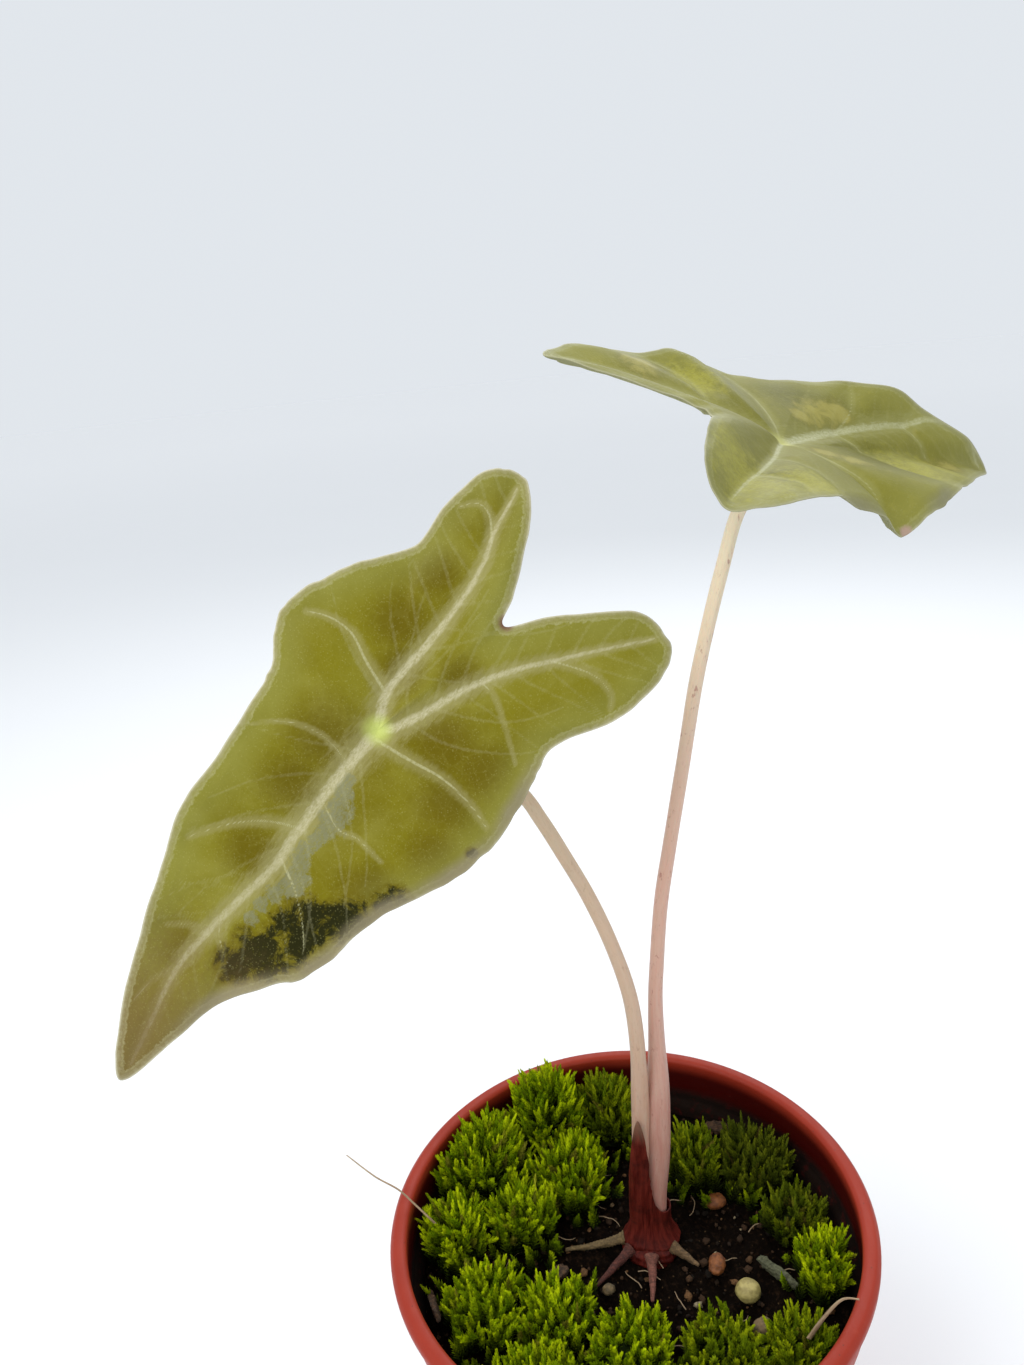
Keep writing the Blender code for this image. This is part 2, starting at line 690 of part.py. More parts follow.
def build_moss(look, group, soil):
    """Low cushions that grow up against each other, the crown and the wall."""
    discs = neighbours()
    for name, (_, _, _, height) in MOSS.items():
        x, y, size = discs[name]
        form = bmesh.new()
        bmesh.ops.create_uvsphere(form, u_segments=MOSS_ROUND, v_segments=MOSS_RINGS, radius=1.0)
        for vertex in form.verts:
            flat = math.hypot(vertex.co.x, vertex.co.y)
            angle = math.atan2(vertex.co.y, vertex.co.x)
            reach = free_reach(name, angle, discs) * (0.94 + 0.06 * math.sin(3 * angle + x))
            level = max(vertex.co.z, -0.35) + 0.35
            lump = 1 + 0.10 * noise.noise(Vector((x, y, 0)) + vertex.co * 2)
            vertex.co = (x + math.cos(angle) * flat * reach, y + math.sin(angle) * flat * reach,
                         SOIL_Z + level / 1.35 * height * lump)
        cushion = add_object(name, mesh_from_bmesh(name, form), look, group)
        settle(cushion, [soil])


def build_grains(looks, group, soil):
    """Rounded grains of the potting mix that lie on top."""
    for name, (x, y, half, turn) in GRAINS.items():
        form = bmesh.new()
        bmesh.ops.create_icosphere(form, subdivisions=2, radius=1.0)
        for vertex in form.verts:
            swell = 1 + 0.10 * noise.noise(vertex.co * 1.7 + Vector((x * 9, y * 9, 0)))
            vertex.co = Vector(vertex.co[i] * half[i] * swell for i in range(3))
        spin = Matrix.Rotation(math.radians(turn), 4, "Z")
        place = Matrix.Translation((x * SOIL_RADIUS, y * SOIL_RADIUS, SOIL_Z + half[2]))
        bmesh.ops.transform(form, matrix=place @ spin, verts=form.verts)
        settle(add_object(name, mesh_from_bmesh(name, form), looks[name], group), [soil])


def chip_mesh(name, size, place):
    """A rough sliver: a box with pinched ends and broken corners."""
    form = bmesh.new()
    bmesh.ops.create_cube(form, size=1.0)
    bmesh.ops.subdivide_edges(
        form, edges=[e for e in form.edges if abs(e.verts[0].co.x - e.verts[1].co.x) > 0.5],
        cuts=3, use_grid_fill=False,
    )
    for vertex in form.verts:
        narrow = 1 - 0.45 * abs(vertex.co.x * 2) ** 2
        rough = 1 + 0.22 * noise.noise(vertex.co * 3 + Vector(size))
        vertex.co.y *= narrow * rough
        vertex.co.z *= narrow
        vertex.co = Vector(vertex.co[i] * size[i] for i in range(3))
    bmesh.ops.transform(form, matrix=place, verts=form.verts)
    return mesh_from_bmesh(name, form)


def build_chips(look, group, soil):
    """Bits of bark and a twig on the soil."""
    for name, (x, y, long, wide, thick, turn) in CHIPS.items():
        place = (Matrix.Translation((x * SOIL_RADIUS, y * SOIL_RADIUS, SOIL_Z + thick))
                 @ Matrix.Rotation(math.radians(turn), 4, "Z"))
        mesh = chip_mesh(name, (long, wide, thick), place)
        settle(add_object(name, mesh, look, group, smooth=False), [soil])


def build_bark_strip(look, group, soil):
    """A strip of bark that leans along the pot's wall."""
    long, wide, thick = BARK_STRIP_SIZE
    away = SOIL_RADIUS - thick - 0.7
    lean = math.radians(BARK_STRIP_ANGLE)
    place = (Matrix.Translation((away * math.cos(lean), away * math.sin(lean), SOIL_Z + long / 3))
             @ Matrix.Rotation(lean - math.pi / 2, 4, "Z")
             @ Matrix.Rotation(math.radians(BARK_STRIP_SLOPE), 4, "Y")
             @ Matrix.Rotation(math.radians(78), 4, "X"))
    mesh = chip_mesh("bark_strip", (long, wide, thick), place)
    settle(add_object("bark_strip", mesh, look, group, smooth=False), [soil])


def build_strands(look, group, carriers):
    """Two dry wisps that hang over the rim."""
    over = RIM_RADIUS - RIM_WIDTH / 2
    left = [(-28.6 / 33.8, 3.0, -5.0), (-31.6 / 33.8, 4.0, -1.6), (-1.0, 5.0, 0.4),
            (-37.6 / 33.8, 7.6, 0.9), (-42.6 / 33.8, 13.2, 0.2)]
    route = [(x * over, y, POT_HEIGHT + z, STRAND_RADIUS) for x, y, z in left]
    settle(tube("dry_strand_left", spline_through(route, 14), look, group, sides=1), carriers)
    right = [(20.4, -20.2, -6.2), (22.6, -20.1, -2.6), (24.7, -20.2, 0.0), (26.6, -20.9, 0.6)]
    scale = over / 33.8
    route = [(x * scale, y * scale, POT_HEIGHT + z, STRAND_RADIUS * 1.6) for x, y, z in right]
    settle(tube("dry_strand_right", spline_through(route, 10), look, group, sides=1), carriers)


def main():
    """Build the whole plant."""
    clear_scene()
    group = new_collection("potted_alocasia")
    cutters = new_collection("cutters")
    terracotta = material("terracotta_plastic", (0.42, 0.085, 0.05), 0.45)
    mix = material("potting_mix", (0.020, 0.014, 0.009), 0.95)
    leaf = material("leaf_green", (0.26, 0.27, 0.07), 0.42)
    pale_leaf = material("leaf_grey_green", (0.30, 0.33, 0.16), 0.42)
    stalk = material("stalk_beige", (0.42, 0.28, 0.19), 0.45)
    pink_stalk = material("stalk_pink", (0.44, 0.25, 0.21), 0.45)
    husk = material("red_brown_husk", (0.10, 0.012, 0.008), 0.55)
    root = material("root_tan", (0.22, 0.13, 0.06), 0.6)
    moss = material("moss_green", (0.11, 0.19, 0.012), 0.9)
    bark = material("bark_brown", (0.10, 0.055, 0.025), 0.9)
    straw = material("dry_straw", (0.40, 0.30, 0.18), 0.7)
    grain_looks = {
        "pale_grain": material("pale_grain", (0.42, 0.33, 0.11), 0.6),
        "rust_grain_back": material("rust_grain_back", (0.20, 0.055, 0.01), 0.7),
        "rust_grain_front": material("rust_grain_front", (0.17, 0.06, 0.012), 0.7),
        "tan_grain": material("tan_grain", (0.18, 0.12, 0.05), 0.8),
        "small_grain": material("small_grain", (0.14, 0.06, 0.04), 0.8),
    }

    pot = build_pot(terracotta, group, cutters)
    soil = build_soil(mix, group, cutters)
    build_corm(husk, group)
    left, right = column_stations()
    left += rise_stations(LEFT_RISE, LEFT_STALK_HEIGHT, LEFT_STALK_RADIUS)
    right += rise_stations(RIGHT_RISE, RIGHT_STALK_HEIGHT, RIGHT_STALK_RADIUS)
    left_top = junction_point(LEFT_JUNCTION, LEFT_STALK_HEIGHT)
    right_top = junction_point(RIGHT_JUNCTION, RIGHT_STALK_HEIGHT)
    build_stalk("left_stalk", left, left_top, LEFT_FACING, LEFT_STALK_RADIUS, stalk, group)
    build_stalk("right_stalk", right, right_top, RIGHT_FACING, RIGHT_STALK_RADIUS * 0.95,
                pink_stalk, group)
    build_blade("left_blade", LEFT_MARGIN, LEFT_BLADE_LENGTH, left_top,
                LEFT_ALONG, LEFT_FACING, leaf, group)
    build_blade("right_blade", RIGHT_MARGIN, RIGHT_BLADE_LENGTH, right_top,
                RIGHT_ALONG, RIGHT_FACING, pale_leaf, group)
    build_sheath(husk, group)
    build_roots(root, group, soil)
    build_moss(moss, group, soil)
    build_grains(grain_looks, group, soil)
    build_chips(bark, group, soil)
    build_bark_strip(bark, group, soil)
    build_strands(straw, group, [pot, *(o for o in group.objects if o.name.startswith("moss_"))])


main()
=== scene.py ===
"""Looks of the potted alocasia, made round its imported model.

Shapes are worked out in millimetres and become metres as each mesh is made. +Z is up, the
origin is the centre of the pot's base, and the front faces -Y.
"""
import math
import random

import bmesh
import bpy
import numpy as np
from mathutils import Matrix, Vector, noise


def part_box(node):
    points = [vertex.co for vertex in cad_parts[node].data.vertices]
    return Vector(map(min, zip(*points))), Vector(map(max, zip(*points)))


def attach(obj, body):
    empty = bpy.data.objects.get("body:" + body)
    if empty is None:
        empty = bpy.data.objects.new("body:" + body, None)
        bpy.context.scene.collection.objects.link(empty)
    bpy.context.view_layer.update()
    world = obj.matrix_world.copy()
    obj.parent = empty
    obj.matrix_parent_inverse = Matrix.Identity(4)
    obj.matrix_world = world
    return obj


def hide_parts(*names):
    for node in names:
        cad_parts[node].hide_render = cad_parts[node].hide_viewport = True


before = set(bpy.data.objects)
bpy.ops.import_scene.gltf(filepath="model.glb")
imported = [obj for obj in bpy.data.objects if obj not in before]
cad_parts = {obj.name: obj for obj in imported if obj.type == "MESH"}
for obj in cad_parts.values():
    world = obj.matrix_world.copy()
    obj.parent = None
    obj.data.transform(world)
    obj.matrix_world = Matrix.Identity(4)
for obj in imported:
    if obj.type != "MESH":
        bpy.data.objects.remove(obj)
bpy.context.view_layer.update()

MM = 0.001
GAP = 0.3                        # clearance between pieces, as in the model

# Pot: rim and height come from the model, walls and steps are its own
POT_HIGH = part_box("pot")[1] / MM
RIM_RADIUS = POT_HIGH.x
POT_HEIGHT = POT_HIGH.z
RIM_WIDTH = 2.4
RIM_DEPTH = 1.8
POT_WALL = 0.9
COLLAR_HEIGHT = 8.0
COLLAR_STEP = 0.9
FOOT_RADIUS = 24.0
FOOT_WIDTH = 3.2
CENTRE_FOOT_RADIUS = 10.0
CHANNEL_LIFT = 1.6
CHANNEL_SLOPE = 0.8
DRAIN_HOLES = 8
DRAIN_RADIUS = 2.5
POT_STEPS = 168
COLLAR_INNER = RIM_RADIUS - RIM_WIDTH
COLLAR_BASE = POT_HEIGHT - COLLAR_HEIGHT
BODY_TOP = COLLAR_BASE - 1.0
BODY_INNER = COLLAR_INNER - COLLAR_STEP
FOOT_INNER = FOOT_RADIUS - FOOT_WIDTH

# Soil and crown
SOIL_Z = POT_HEIGHT - 10.0
SOIL_EASE = 0.4
SOIL_RADIUS = BODY_INNER - SOIL_EASE
SOIL_RINGS = 64
SOIL_STEPS = 150
SOIL_BUMP = 0.7
SOIL_BUMP_SPACING = 9.0
SOIL_BUMP_FADE = 6.0
CROWN = Vector((3.2, 2.5))
CORM_RADIUS = 4.3
CORM_TOP = 1.9
CORM_DEPTH = 3.4
CORM_STEPS = 96
STALK_BASE = SOIL_Z + CORM_TOP + GAP
SHEATH_HEIGHT = 22.0
SHEATH_LOW = 5.0
SHEATH_TIP_ANGLE = 225.0
SHEATH_TAPER = 4.0
SHEATH_LEVELS = 46
SHEATH_STEPS = 120
SHEATH_EASE = 0.40
SHEATH_WALL = 0.2

# Stalks: stations of the joined part as height share, left x, y and radius share, then the
# right stalk's distance as a share of touching, its y and radius share
COLUMN_HEIGHT = 35.0
LEFT_STALK_RADIUS = 0.95
RIGHT_STALK_RADIUS = 1.0
STALK_TOP_GAP = 1.05
STALK_END = 2.8
COLUMN = (
    (0.00, 0.0, 0.0, 1.00, 1.02, 0.0, 1.30),
    (0.20, 0.1, 0.0, 1.00, 1.06, 0.2, 1.35),
    (0.45, 0.6, 0.0, 1.13, 1.03, 0.5, 1.55),
    (0.75, 1.1, 0.1, 1.20, 1.05, 1.2, 1.50),
    (1.00, 1.4, 0.2, 1.15, 1.15, 2.2, 1.20),
)
# Above it: x and y from the crown, share of the rise to the blade, radius share
LEFT_RISE = (
    (-0.4, 0.3, 0.16, 1.10), (-2.3, 0.2, 0.315, 1.05), (-5.0, 0.1, 0.464, 1.03),
    (-8.1, -0.1, 0.597, 1.02), (-10.3, -0.3, 0.685, 1.01), (-12.5, -0.2, 0.757, 1.00),
    (-17.6, 0.8, 0.858, 1.00), (-23.0, 0.5, 0.918, 1.00), (-26.8, -1.7, 0.955, 1.02),
)
RIGHT_RISE = (
    (3.4, 3.1, 0.076, 1.10), (3.9, 3.9, 0.13, 1.06), (5.2, 5.1, 0.248, 1.04),
    (7.1, 6.5, 0.352, 1.02), (9.8, 8.0, 0.496, 1.00), (12.0, 8.8, 0.623, 1.00),
    (14.1, 9.4, 0.72, 0.98), (16.4, 9.9, 0.814, 0.97), (18.5, 10.2, 0.892, 0.95),
    (21.4, 10.0, 0.946, 0.95),
)

# Blades: where the veins meet, the way to the tip and the way the upper side faces
LEFT_JUNCTION = Vector((-25.1, -5.3, 142.4))
LEFT_ALONG = Vector((-0.670, -0.241, -0.702))
LEFT_FACING = Vector((0.0, -0.946, 0.325))
LEFT_LENGTH = 52.5
RIGHT_JUNCTION = Vector((27.3, 11.1, 168.6))
RIGHT_ALONG = Vector((0.81, 0.545, -0.22))
RIGHT_FACING = Vector((0.427, -0.273, 0.862))
RIGHT_LENGTH = 47.0
BLADE_PUFF = 0.022
BLADE_RINGS = 108
SPAN_STEPS = 11
FINE_VEIN_SPACING = 6.5
FINE_VEIN_STEP = 4.2
FAR_AWAY = 60.0
UNDERSIDE_SHIFT = 3.0

# Margins and veins as hundredths of the blade: along to the tip, across to its left, lift
LEFT_MARGIN = (
    (100, 0, -8), (85, 4, -7), (73, 7, -6), (60, 15, -2), (55, 19, -1), (47, 22, 0),
    (39, 23, 2), (29, 27, 0), (17, 33, 2), (9, 35, 3), (1, 36, 1), (-8, 35, 2),
    (-14, 34, 2), (-21, 34, 0), (-32, 41, -1), (-42, 44, -3), (-51, 44, -5), (-55, 40, -5),
    (-56, 32, -4), (-50, 24, -3), (-43, 16, -2), (-35, 9, 0), (-41, 7, 0), (-51, 3, 0),
    (-59, -1, -1), (-65, -7, -4), (-64, -12, -5), (-60, -16, -5), (-49, -18, -4),
    (-38, -18, -3), (-28, -25, 0), (-21, -29, 1), (-14, -32, 1), (-8, -33, 0),
    (-2, -30, 0), (3, -27, 1), (10, -26, 2), (26, -25, 2), (40, -25, 1), (53, -21, -1),
    (67, -17, -3), (82, -12, -6), (96, -5, -7),
)
RIGHT_MARGIN = (
    (100, 0, 0), (89, 6, 7), (75, 12, 10), (62, 19, 13), (47, 25, 11), (35, 29, 7),
    (24, 34, 4), (12, 37, 2), (0, 39, 3), (-13, 39, 5), (-25, 40, 2), (-42, 41, 1),
    (-54, 37, 0), (-60, 31, 0), (-56, 22, 3), (-46, 12, 4), (-37, 5, 5), (-34, 0, 5),
    (-35, -5, 6), (-43, -12, 8), (-52, -21, 8), (-59, -31, 5), (-58, -39, 1),
    (-52, -43, 3), (-41, -43, 6), (-27, -40, 6), (-13, -38, 4), (0, -38, 1),
    (11, -38, -4), (21, -36, 2), (32, -32, 5), (45, -26, 5), (60, -19, 3), (77, -11, 2),
)
# A vein is its points, then its half width in mm where it starts and where it ends
LEFT_MAIN_VEINS = (
    (((0, 0), (15, -1), (30, -1), (40, -1), (51, -3), (65, -5), (73, -5), (84, -3), (96, -1)),
     0.62, 0.16),
    (((0, 0), (-7, -3), (-13, -3), (-25, -2), (-37, -2), (-44, -3), (-50, -5), (-56, -6),
      (-62, -7)), 0.50, 0.12),
    (((0, 0), (-3, 3), (-11, 7), (-20, 11), (-29, 17), (-36, 23), (-43, 29), (-53, 38)),
     0.50, 0.12),
)
LEFT_SIDE_VEINS = (
    (((-8, -4), (-11, -11), (-14, -17), (-14, -23), (-12, -28)), 0.24, 0.10),
    (((28, -1), (31, -8), (36, -14), (44, -20)), 0.24, 0.10),
    (((2, 1), (1, 10), (0, 18), (1, 26), (3, 32)), 0.26, 0.10),
    (((-48, -4), (-53, -8), (-54, -12), (-51, -15)), 0.20, 0.08),
    (((-35, 22), (-38, 31), (-37, 37), (-34, 39)), 0.18, 0.08),
    (((20, -1), (23, 6), (22, 11), (23, 18)), 0.16, 0.07),
    (((36, -1), (40, 6), (45, 12), (50, 16)), 0.22, 0.08),
    (((60, -4), (61, -9), (64, -13)), 0.18, 0.07),
    (((10, -1), (8, -9), (10, -17), (15, -23)), 0.13, 0.06),
    (((-22, 13), (-21, 17), (-16, 24), (-12, 29)), 0.12, 0.06),
    (((56, -4), (62, 2), (64, 7), (63, 11)), 0.14, 0.07),
    (((70, -5), (76, -8), (83, -9)), 0.12, 0.06),
)
RIGHT_MAIN_VEINS = (
    (((0, 0), (14, 4), (28, 7), (44, 9), (60, 10), (72, 11), (86, 8), (97, 1)), 0.62, 0.16),
    (((0, 0), (-8, 6), (-18, 13), (-30, 20), (-42, 27), (-54, 33)), 0.50, 0.14),
    (((0, 0), (-8, -6), (-18, -14), (-30, -22), (-42, -29), (-53, -36)), 0.30, 0.10),
)
RIGHT_SIDE_VEINS = (
    (((0, 0), (4, 12), (6, 24), (5, 36)), 0.28, 0.10),
    (((0, 0), (6, -12), (10, -24), (8, -36)), 0.28, 0.10),
    (((28, 7), (38, 13), (44, 20), (47, 26)), 0.22, 0.08),
    (((28, 7), (38, -4), (43, -15), (45, -26)), 0.22, 0.08),
    (((60, 10), (66, 13), (70, 17)), 0.18, 0.08),
    (((60, 10), (68, 0), (72, -10)), 0.18, 0.08),
    (((-18, 13), (-16, 22), (-20, 32), (-25, 39)), 0.18, 0.08),
    (((-18, -14), (-14, -24), (-17, -33), (-20, -39)), 0.18, 0.08),
    (((-34, -25), (-30, -33), (-33, -40)), 0.15, 0.07),
)

# Fine forms
SEED = 20
MOSS_SPRIGS_PER_CM2 = 120
CRUMBS = 900
FIBRES = 70
SHOOT_LENGTH = 6.5
SHOOT_KINDS = 10
SHOOT_WHORLS = 17
SHOOT_STEM = 0.035
STRAY_SHOOTS = 420
STRAY_LENGTHS = (1.6, 5.2)
STRAY_REACH = 1.8
STRAY_CROWN_EASE = 3.5
STRAND_RADIUS = 0.25

# Stage and camera, in millimetres and degrees
FLOOR_RADIUS = 4000.0
FLOOR_SIDES = 96
AIR_COLOUR = (0.78, 0.82, 0.865, 1.0)
AIR_STRENGTH = 0.97
CAMERA_PLACE = Vector((-9.0, -116.6, 184.7))
CAMERA_PITCH = 18.94
CAMERA_ROLL = 5.88
CAMERA_LENS = 27.03

rng = np.random.default_rng(SEED)
random.seed(SEED)


# ---------------------------------------------------------------- node helpers

class Nodes:
    """Adds nodes to a tree and links them; a value is a number, a colour or a socket."""

    def __init__(self, tree):
        self.tree = tree

    def feed(self, socket, value):
        """Link a socket, or set a plain value on it."""
        if isinstance(value, bpy.types.NodeSocket):
            self.tree.links.new(value, socket)
        elif isinstance(value, tuple) and len(value) == 3 and socket.type == "RGBA":
            socket.default_value = (*value, 1.0)
        else:
            socket.default_value = value

    def add(self, kind, inputs=None, **settings):
        """A node with its settings, and its inputs by name or number."""
        made = self.tree.nodes.new(kind)
        for key, value in settings.items():
            setattr(made, key, value)
        for key, value in (inputs or {}).items():
            self.feed(made.inputs[key], value)
        return made

    def math(self, operation, first, second=0.0):
        """One sum on two values."""
        return self.add("ShaderNodeMath", {0: first, 1: second}, operation=operation).outputs[0]

    def times(self, first, *others):
        """Values multiplied in turn."""
        for other in others:
            first = self.math("MULTIPLY", first, other)
        return first

    def plus(self, first, second):
        """Two values added."""
        return self.math("ADD", first, second)

    def ramp(self, value, start, end, low=0.0, high=1.0):
        """A smooth step of a value from low at start to high at end."""
        return self.add("ShaderNodeMapRange", {
            "Value": value, "From Min": start, "From Max": end, "To Min": low, "To Max": high,
        }, interpolation_type="SMOOTHSTEP").outputs["Result"]

    def mix(self, first, second, share):
        """Two colours in a share."""
        made = self.add("ShaderNodeMix", {0: share, 6: first, 7: second}, data_type="RGBA")
        return made.outputs[2]

    def tint(self, colour, other, *shares):
        """A colour moved towards another by the product of the shares."""
        return self.mix(colour, other, self.times(*shares))

    def field(self, name, output="Fac"):
        """A value or vector that the mesh carries."""
        return self.add("ShaderNodeAttribute", attribute_name=name).outputs[output]

    def millimetres(self):
        """Place on the object, in millimetres."""
        place = self.add("ShaderNodeTexCoord").outputs["Object"]
        return self.stretch(place, (1 / MM, 1 / MM, 1 / MM))

    def stretch(self, vector, scale):
        """A vector multiplied axis by axis."""
        return self.add("ShaderNodeVectorMath", {0: vector, 1: scale},
                        operation="MULTIPLY").outputs[0]

    def noise(self, vector, scale, detail=4.0, roughness=0.55, distortion=0.0):
        """Soft noise from 0 to 1."""
        return self.add("ShaderNodeTexNoise", {
            "Vector": vector, "Scale": scale, "Detail": detail, "Roughness": roughness,
            "Distortion": distortion,
        }).outputs["Fac"]

    def group(self, tree, **inputs):
        """What a node group puts out with its own values."""
        return self.add("ShaderNodeGroup", inputs, node_tree=tree).outputs

    def mottled(self, place, scale, start, end):
        """Broad blotches over a place."""
        return self.group(MOTTLE, Vector=place, Scale=scale, Start=start, End=end)[0]

    def fibred(self, strand, scale, length):
        """Fibres along a strand."""
        return self.group(FIBRE, Vector=strand, Scale=scale, Length=length)[0]

    def specked(self, place, scale, size, thinning):
        """Scattered specks over a place."""
        return self.group(SPECKLE, Vector=place, Scale=scale, Size=size, Thinning=thinning)[0]


def new_group(name, inputs, outputs):
    """A shader node group with named sockets, and its two ends."""
    tree = bpy.data.node_groups.new(name, "ShaderNodeTree")
    for socket, kind in inputs:
        tree.interface.new_socket(socket, in_out="INPUT", socket_type="NodeSocket" + kind)
    for socket, kind in outputs:
        tree.interface.new_socket(socket, in_out="OUTPUT", socket_type="NodeSocket" + kind)
    nodes = Nodes(tree)
    return tree, nodes, nodes.add("NodeGroupInput").outputs, nodes.add("NodeGroupOutput")


def mottle_group():
    """Broad blotches with a soft edge."""
    tree, n, given, ends = new_group(
        "Soft mottle",
        [("Vector", "Vector"), ("Scale", "Float"), ("Start", "Float"), ("End", "Float")],
        [("Mask", "Float")],
    )
    cloud = n.noise(given["Vector"], given["Scale"], 5.0, 0.6, 0.3)
    n.feed(ends.inputs["Mask"], n.ramp(cloud, given["Start"], given["End"]))
    return tree


def speckle_group():
    """Small scattered dots, fewer than there are cells."""
    tree, n, given, ends = new_group(
        "Scattered specks",
        [("Vector", "Vector"), ("Scale", "Float"), ("Size", "Float"), ("Thinning", "Float")],
        [("Mask", "Float")],
    )
    cell = n.add("ShaderNodeTexVoronoi", {"Vector": given["Vector"], "Scale": given["Scale"]})
    dot = n.math("LESS_THAN", cell.outputs["Distance"], given["Size"])
    lot = n.add("ShaderNodeSeparateColor", {0: cell.outputs["Color"]}).outputs[0]
    kept = n.math("GREATER_THAN", lot, given["Thinning"])
    n.feed(ends.inputs["Mask"], n.math("MULTIPLY", dot, kept))
    return tree


def fibre_group():
    """Fine lengthwise fibres; the vector runs along them on Y."""
    tree, n, given, ends = new_group(
        "Lengthwise fibres",
        [("Vector", "Vector"), ("Scale", "Float"), ("Length", "Float")],
        [("Mask", "Float")],
    )
    squeeze = n.add("ShaderNodeCombineXYZ", {
        0: 1.0, 1: n.math("DIVIDE", 1.0, given["Length"]), 2: 1.0}).outputs[0]
    long = n.stretch(given["Vector"], squeeze)
    fine = n.noise(long, given["Scale"], 6.0, 0.7, 0.2)
    n.feed(ends.inputs["Mask"], n.ramp(fine, 0.3, 0.7))
    return tree


def skin_group():
    """Pebbled height of a living or moulded skin."""
    tree, n, given, ends = new_group(
        "Pebbled skin", [("Vector", "Vector"), ("Scale", "Float")],
        [("Height", "Float"), ("Dots", "Float")],
    )
    cell = n.add("ShaderNodeTexVoronoi", {"Vector": given["Vector"], "Scale": given["Scale"]},
                 feature="SMOOTH_F1")
    cell.inputs["Smoothness"].default_value = 0.6
    dome = n.ramp(cell.outputs["Distance"], 0.0, 0.75, 1.0, 0.0)
    n.feed(ends.inputs["Height"], dome)
    n.feed(ends.inputs["Dots"], n.ramp(cell.outputs["Distance"], 0.08, 0.32, 1.0, 0.0))
    return tree


def line_group():
    """A soft line where a distance is small, with a frayed edge."""
    tree, n, given, ends = new_group(
        "Vein line",
        [("Distance", "Float"), ("Width", "Float"), ("Fray", "Float"), ("Cloud", "Float")],
        [("Mask", "Float")],
    )
    shift = n.math("MULTIPLY", n.math("SUBTRACT", given["Cloud"], 0.5), given["Fray"])
    frayed = n.math("ADD", given["Distance"], shift)
    inner = n.math("MULTIPLY", given["Width"], 0.25)
    n.feed(ends.inputs["Mask"], n.ramp(frayed, inner, given["Width"], 1.0, 0.0))
    return tree


MOTTLE = mottle_group()
SPECKLE = speckle_group()
FIBRE = fibre_group()
SKIN = skin_group()
LINE = line_group()


def new_look(name):
    """A material and its nodes."""
    look = bpy.data.materials.new(name)
    look.use_nodes = True
    return look, Nodes(look.node_tree)


def finish_look(look, n, colour, roughness, height=None, strength=0.3, depth=0.1, shine=0.5):
    """Colour, roughness and bump into the shader; depth is the bump's reach in mm."""
    shader = look.node_tree.nodes["Principled BSDF"]
    n.feed(shader.inputs["Base Color"], colour)
    n.feed(shader.inputs["Roughness"], roughness)
    if height is not None:
        bump = n.add("ShaderNodeBump", {"Strength": strength, "Distance": depth * MM,
                                        "Height": height})
        n.feed(shader.inputs["Normal"], bump.outputs["Normal"])
    shader.inputs["Specular IOR Level"].default_value = shine
    return look


# ---------------------------------------------------------------- materials

def terracotta_plastic():
    """Thin moulded terracotta-red plastic, soil splashed inside, painted shade on the inner wall.
    """
    look, n = new_look("terracotta_plastic")
    place = n.millimetres()
    up = n.add("ShaderNodeSeparateXYZ", {0: place}).outputs[2]
    inside = n.ramp(n.field("inside"), 0.4, 0.6)
    deep = n.ramp(up, POT_HEIGHT - 0.3, POT_HEIGHT - 3.0)
    low = n.ramp(up, SOIL_Z + 5.0, SOIL_Z + 2.6)
    colour = n.mix((0.31, 0.029, 0.013), (0.35, 0.036, 0.016), n.mottled(place, 0.09, 0.3, 0.75))
    colour = n.tint(colour, (0.50, 0.12, 0.07), n.mottled(place, 0.6, 0.55, 0.85), 0.14)
    # painted shade: from just below the rim down, the inner wall is painted almost black
    colour = n.tint(colour, (0.040, 0.001, 0.0005), inside, deep, 0.97)
    colour = n.tint(colour, (0.009, 0.003, 0.001), n.mottled(place, 0.7, 0.25, 0.5), low, inside)
    colour = n.tint(colour, (0.10, 0.03, 0.018), n.specked(place, 1.1, 0.12, 0.8), 0.6)
    scuff = n.fibred(n.stretch(place, (1.0, 0.3, 3.0)), 0.8, 5.0)
    roughness = n.plus(n.ramp(scuff, 0.0, 1.0, 0.36, 0.5), n.times(low, inside, 0.5))
    rings = n.add("ShaderNodeTexWave", {"Vector": place, "Scale": 0.22, "Distortion": 0.4},
                  bands_direction="Z").outputs["Fac"]
    height = n.plus(n.times(rings, 0.5), n.group(SKIN, Vector=place, Scale=3.5)["Height"])
    return finish_look(look, n, colour, roughness, height, 0.12, 0.05, shine=0.2)


def wet_mix():
    """Nearly black moist peat with brown bits."""
    look, n = new_look("potting_mix")
    place = n.millimetres()
    bits = n.mottled(place, 1.3, 0.5, 0.72)
    colour = n.mix((0.004, 0.002, 0.001), (0.020, 0.010, 0.005), bits)
    colour = n.tint(colour, (0.10, 0.06, 0.028), n.specked(place, 1.6, 0.2, 0.86), 0.7)
    rough = n.noise(place, 2.2, 8.0, 0.7)
    return finish_look(look, n, colour, n.ramp(rough, 0.3, 0.7, 0.75, 1.0), rough, 0.9, 0.5,
                       shine=0.05)


def crumb_look():
    """Loose crumbs of peat, bark and pumice, told apart by their own tone."""
    look, n = new_look("crumbs")
    tone = n.field("tone")
    grain = n.noise(n.millimetres(), 4.0, 5.0, 0.65)
    colour = n.mix((0.008, 0.005, 0.003), (0.055, 0.028, 0.014), n.ramp(tone, 0.2, 0.8))
    colour = n.mix(colour, (0.17, 0.085, 0.035), n.ramp(tone, 0.84, 0.9))
    colour = n.mix(colour, (0.34, 0.28, 0.17), n.ramp(tone, 0.96, 0.98))
    colour = n.mix(colour, (0.01, 0.007, 0.004), n.ramp(grain, 0.55, 0.35, 0.0, 0.7))
    return finish_look(look, n, colour, n.ramp(grain, 0.3, 0.7, 0.7, 1.0), grain, 0.7, 0.2,
                       shine=0.15)


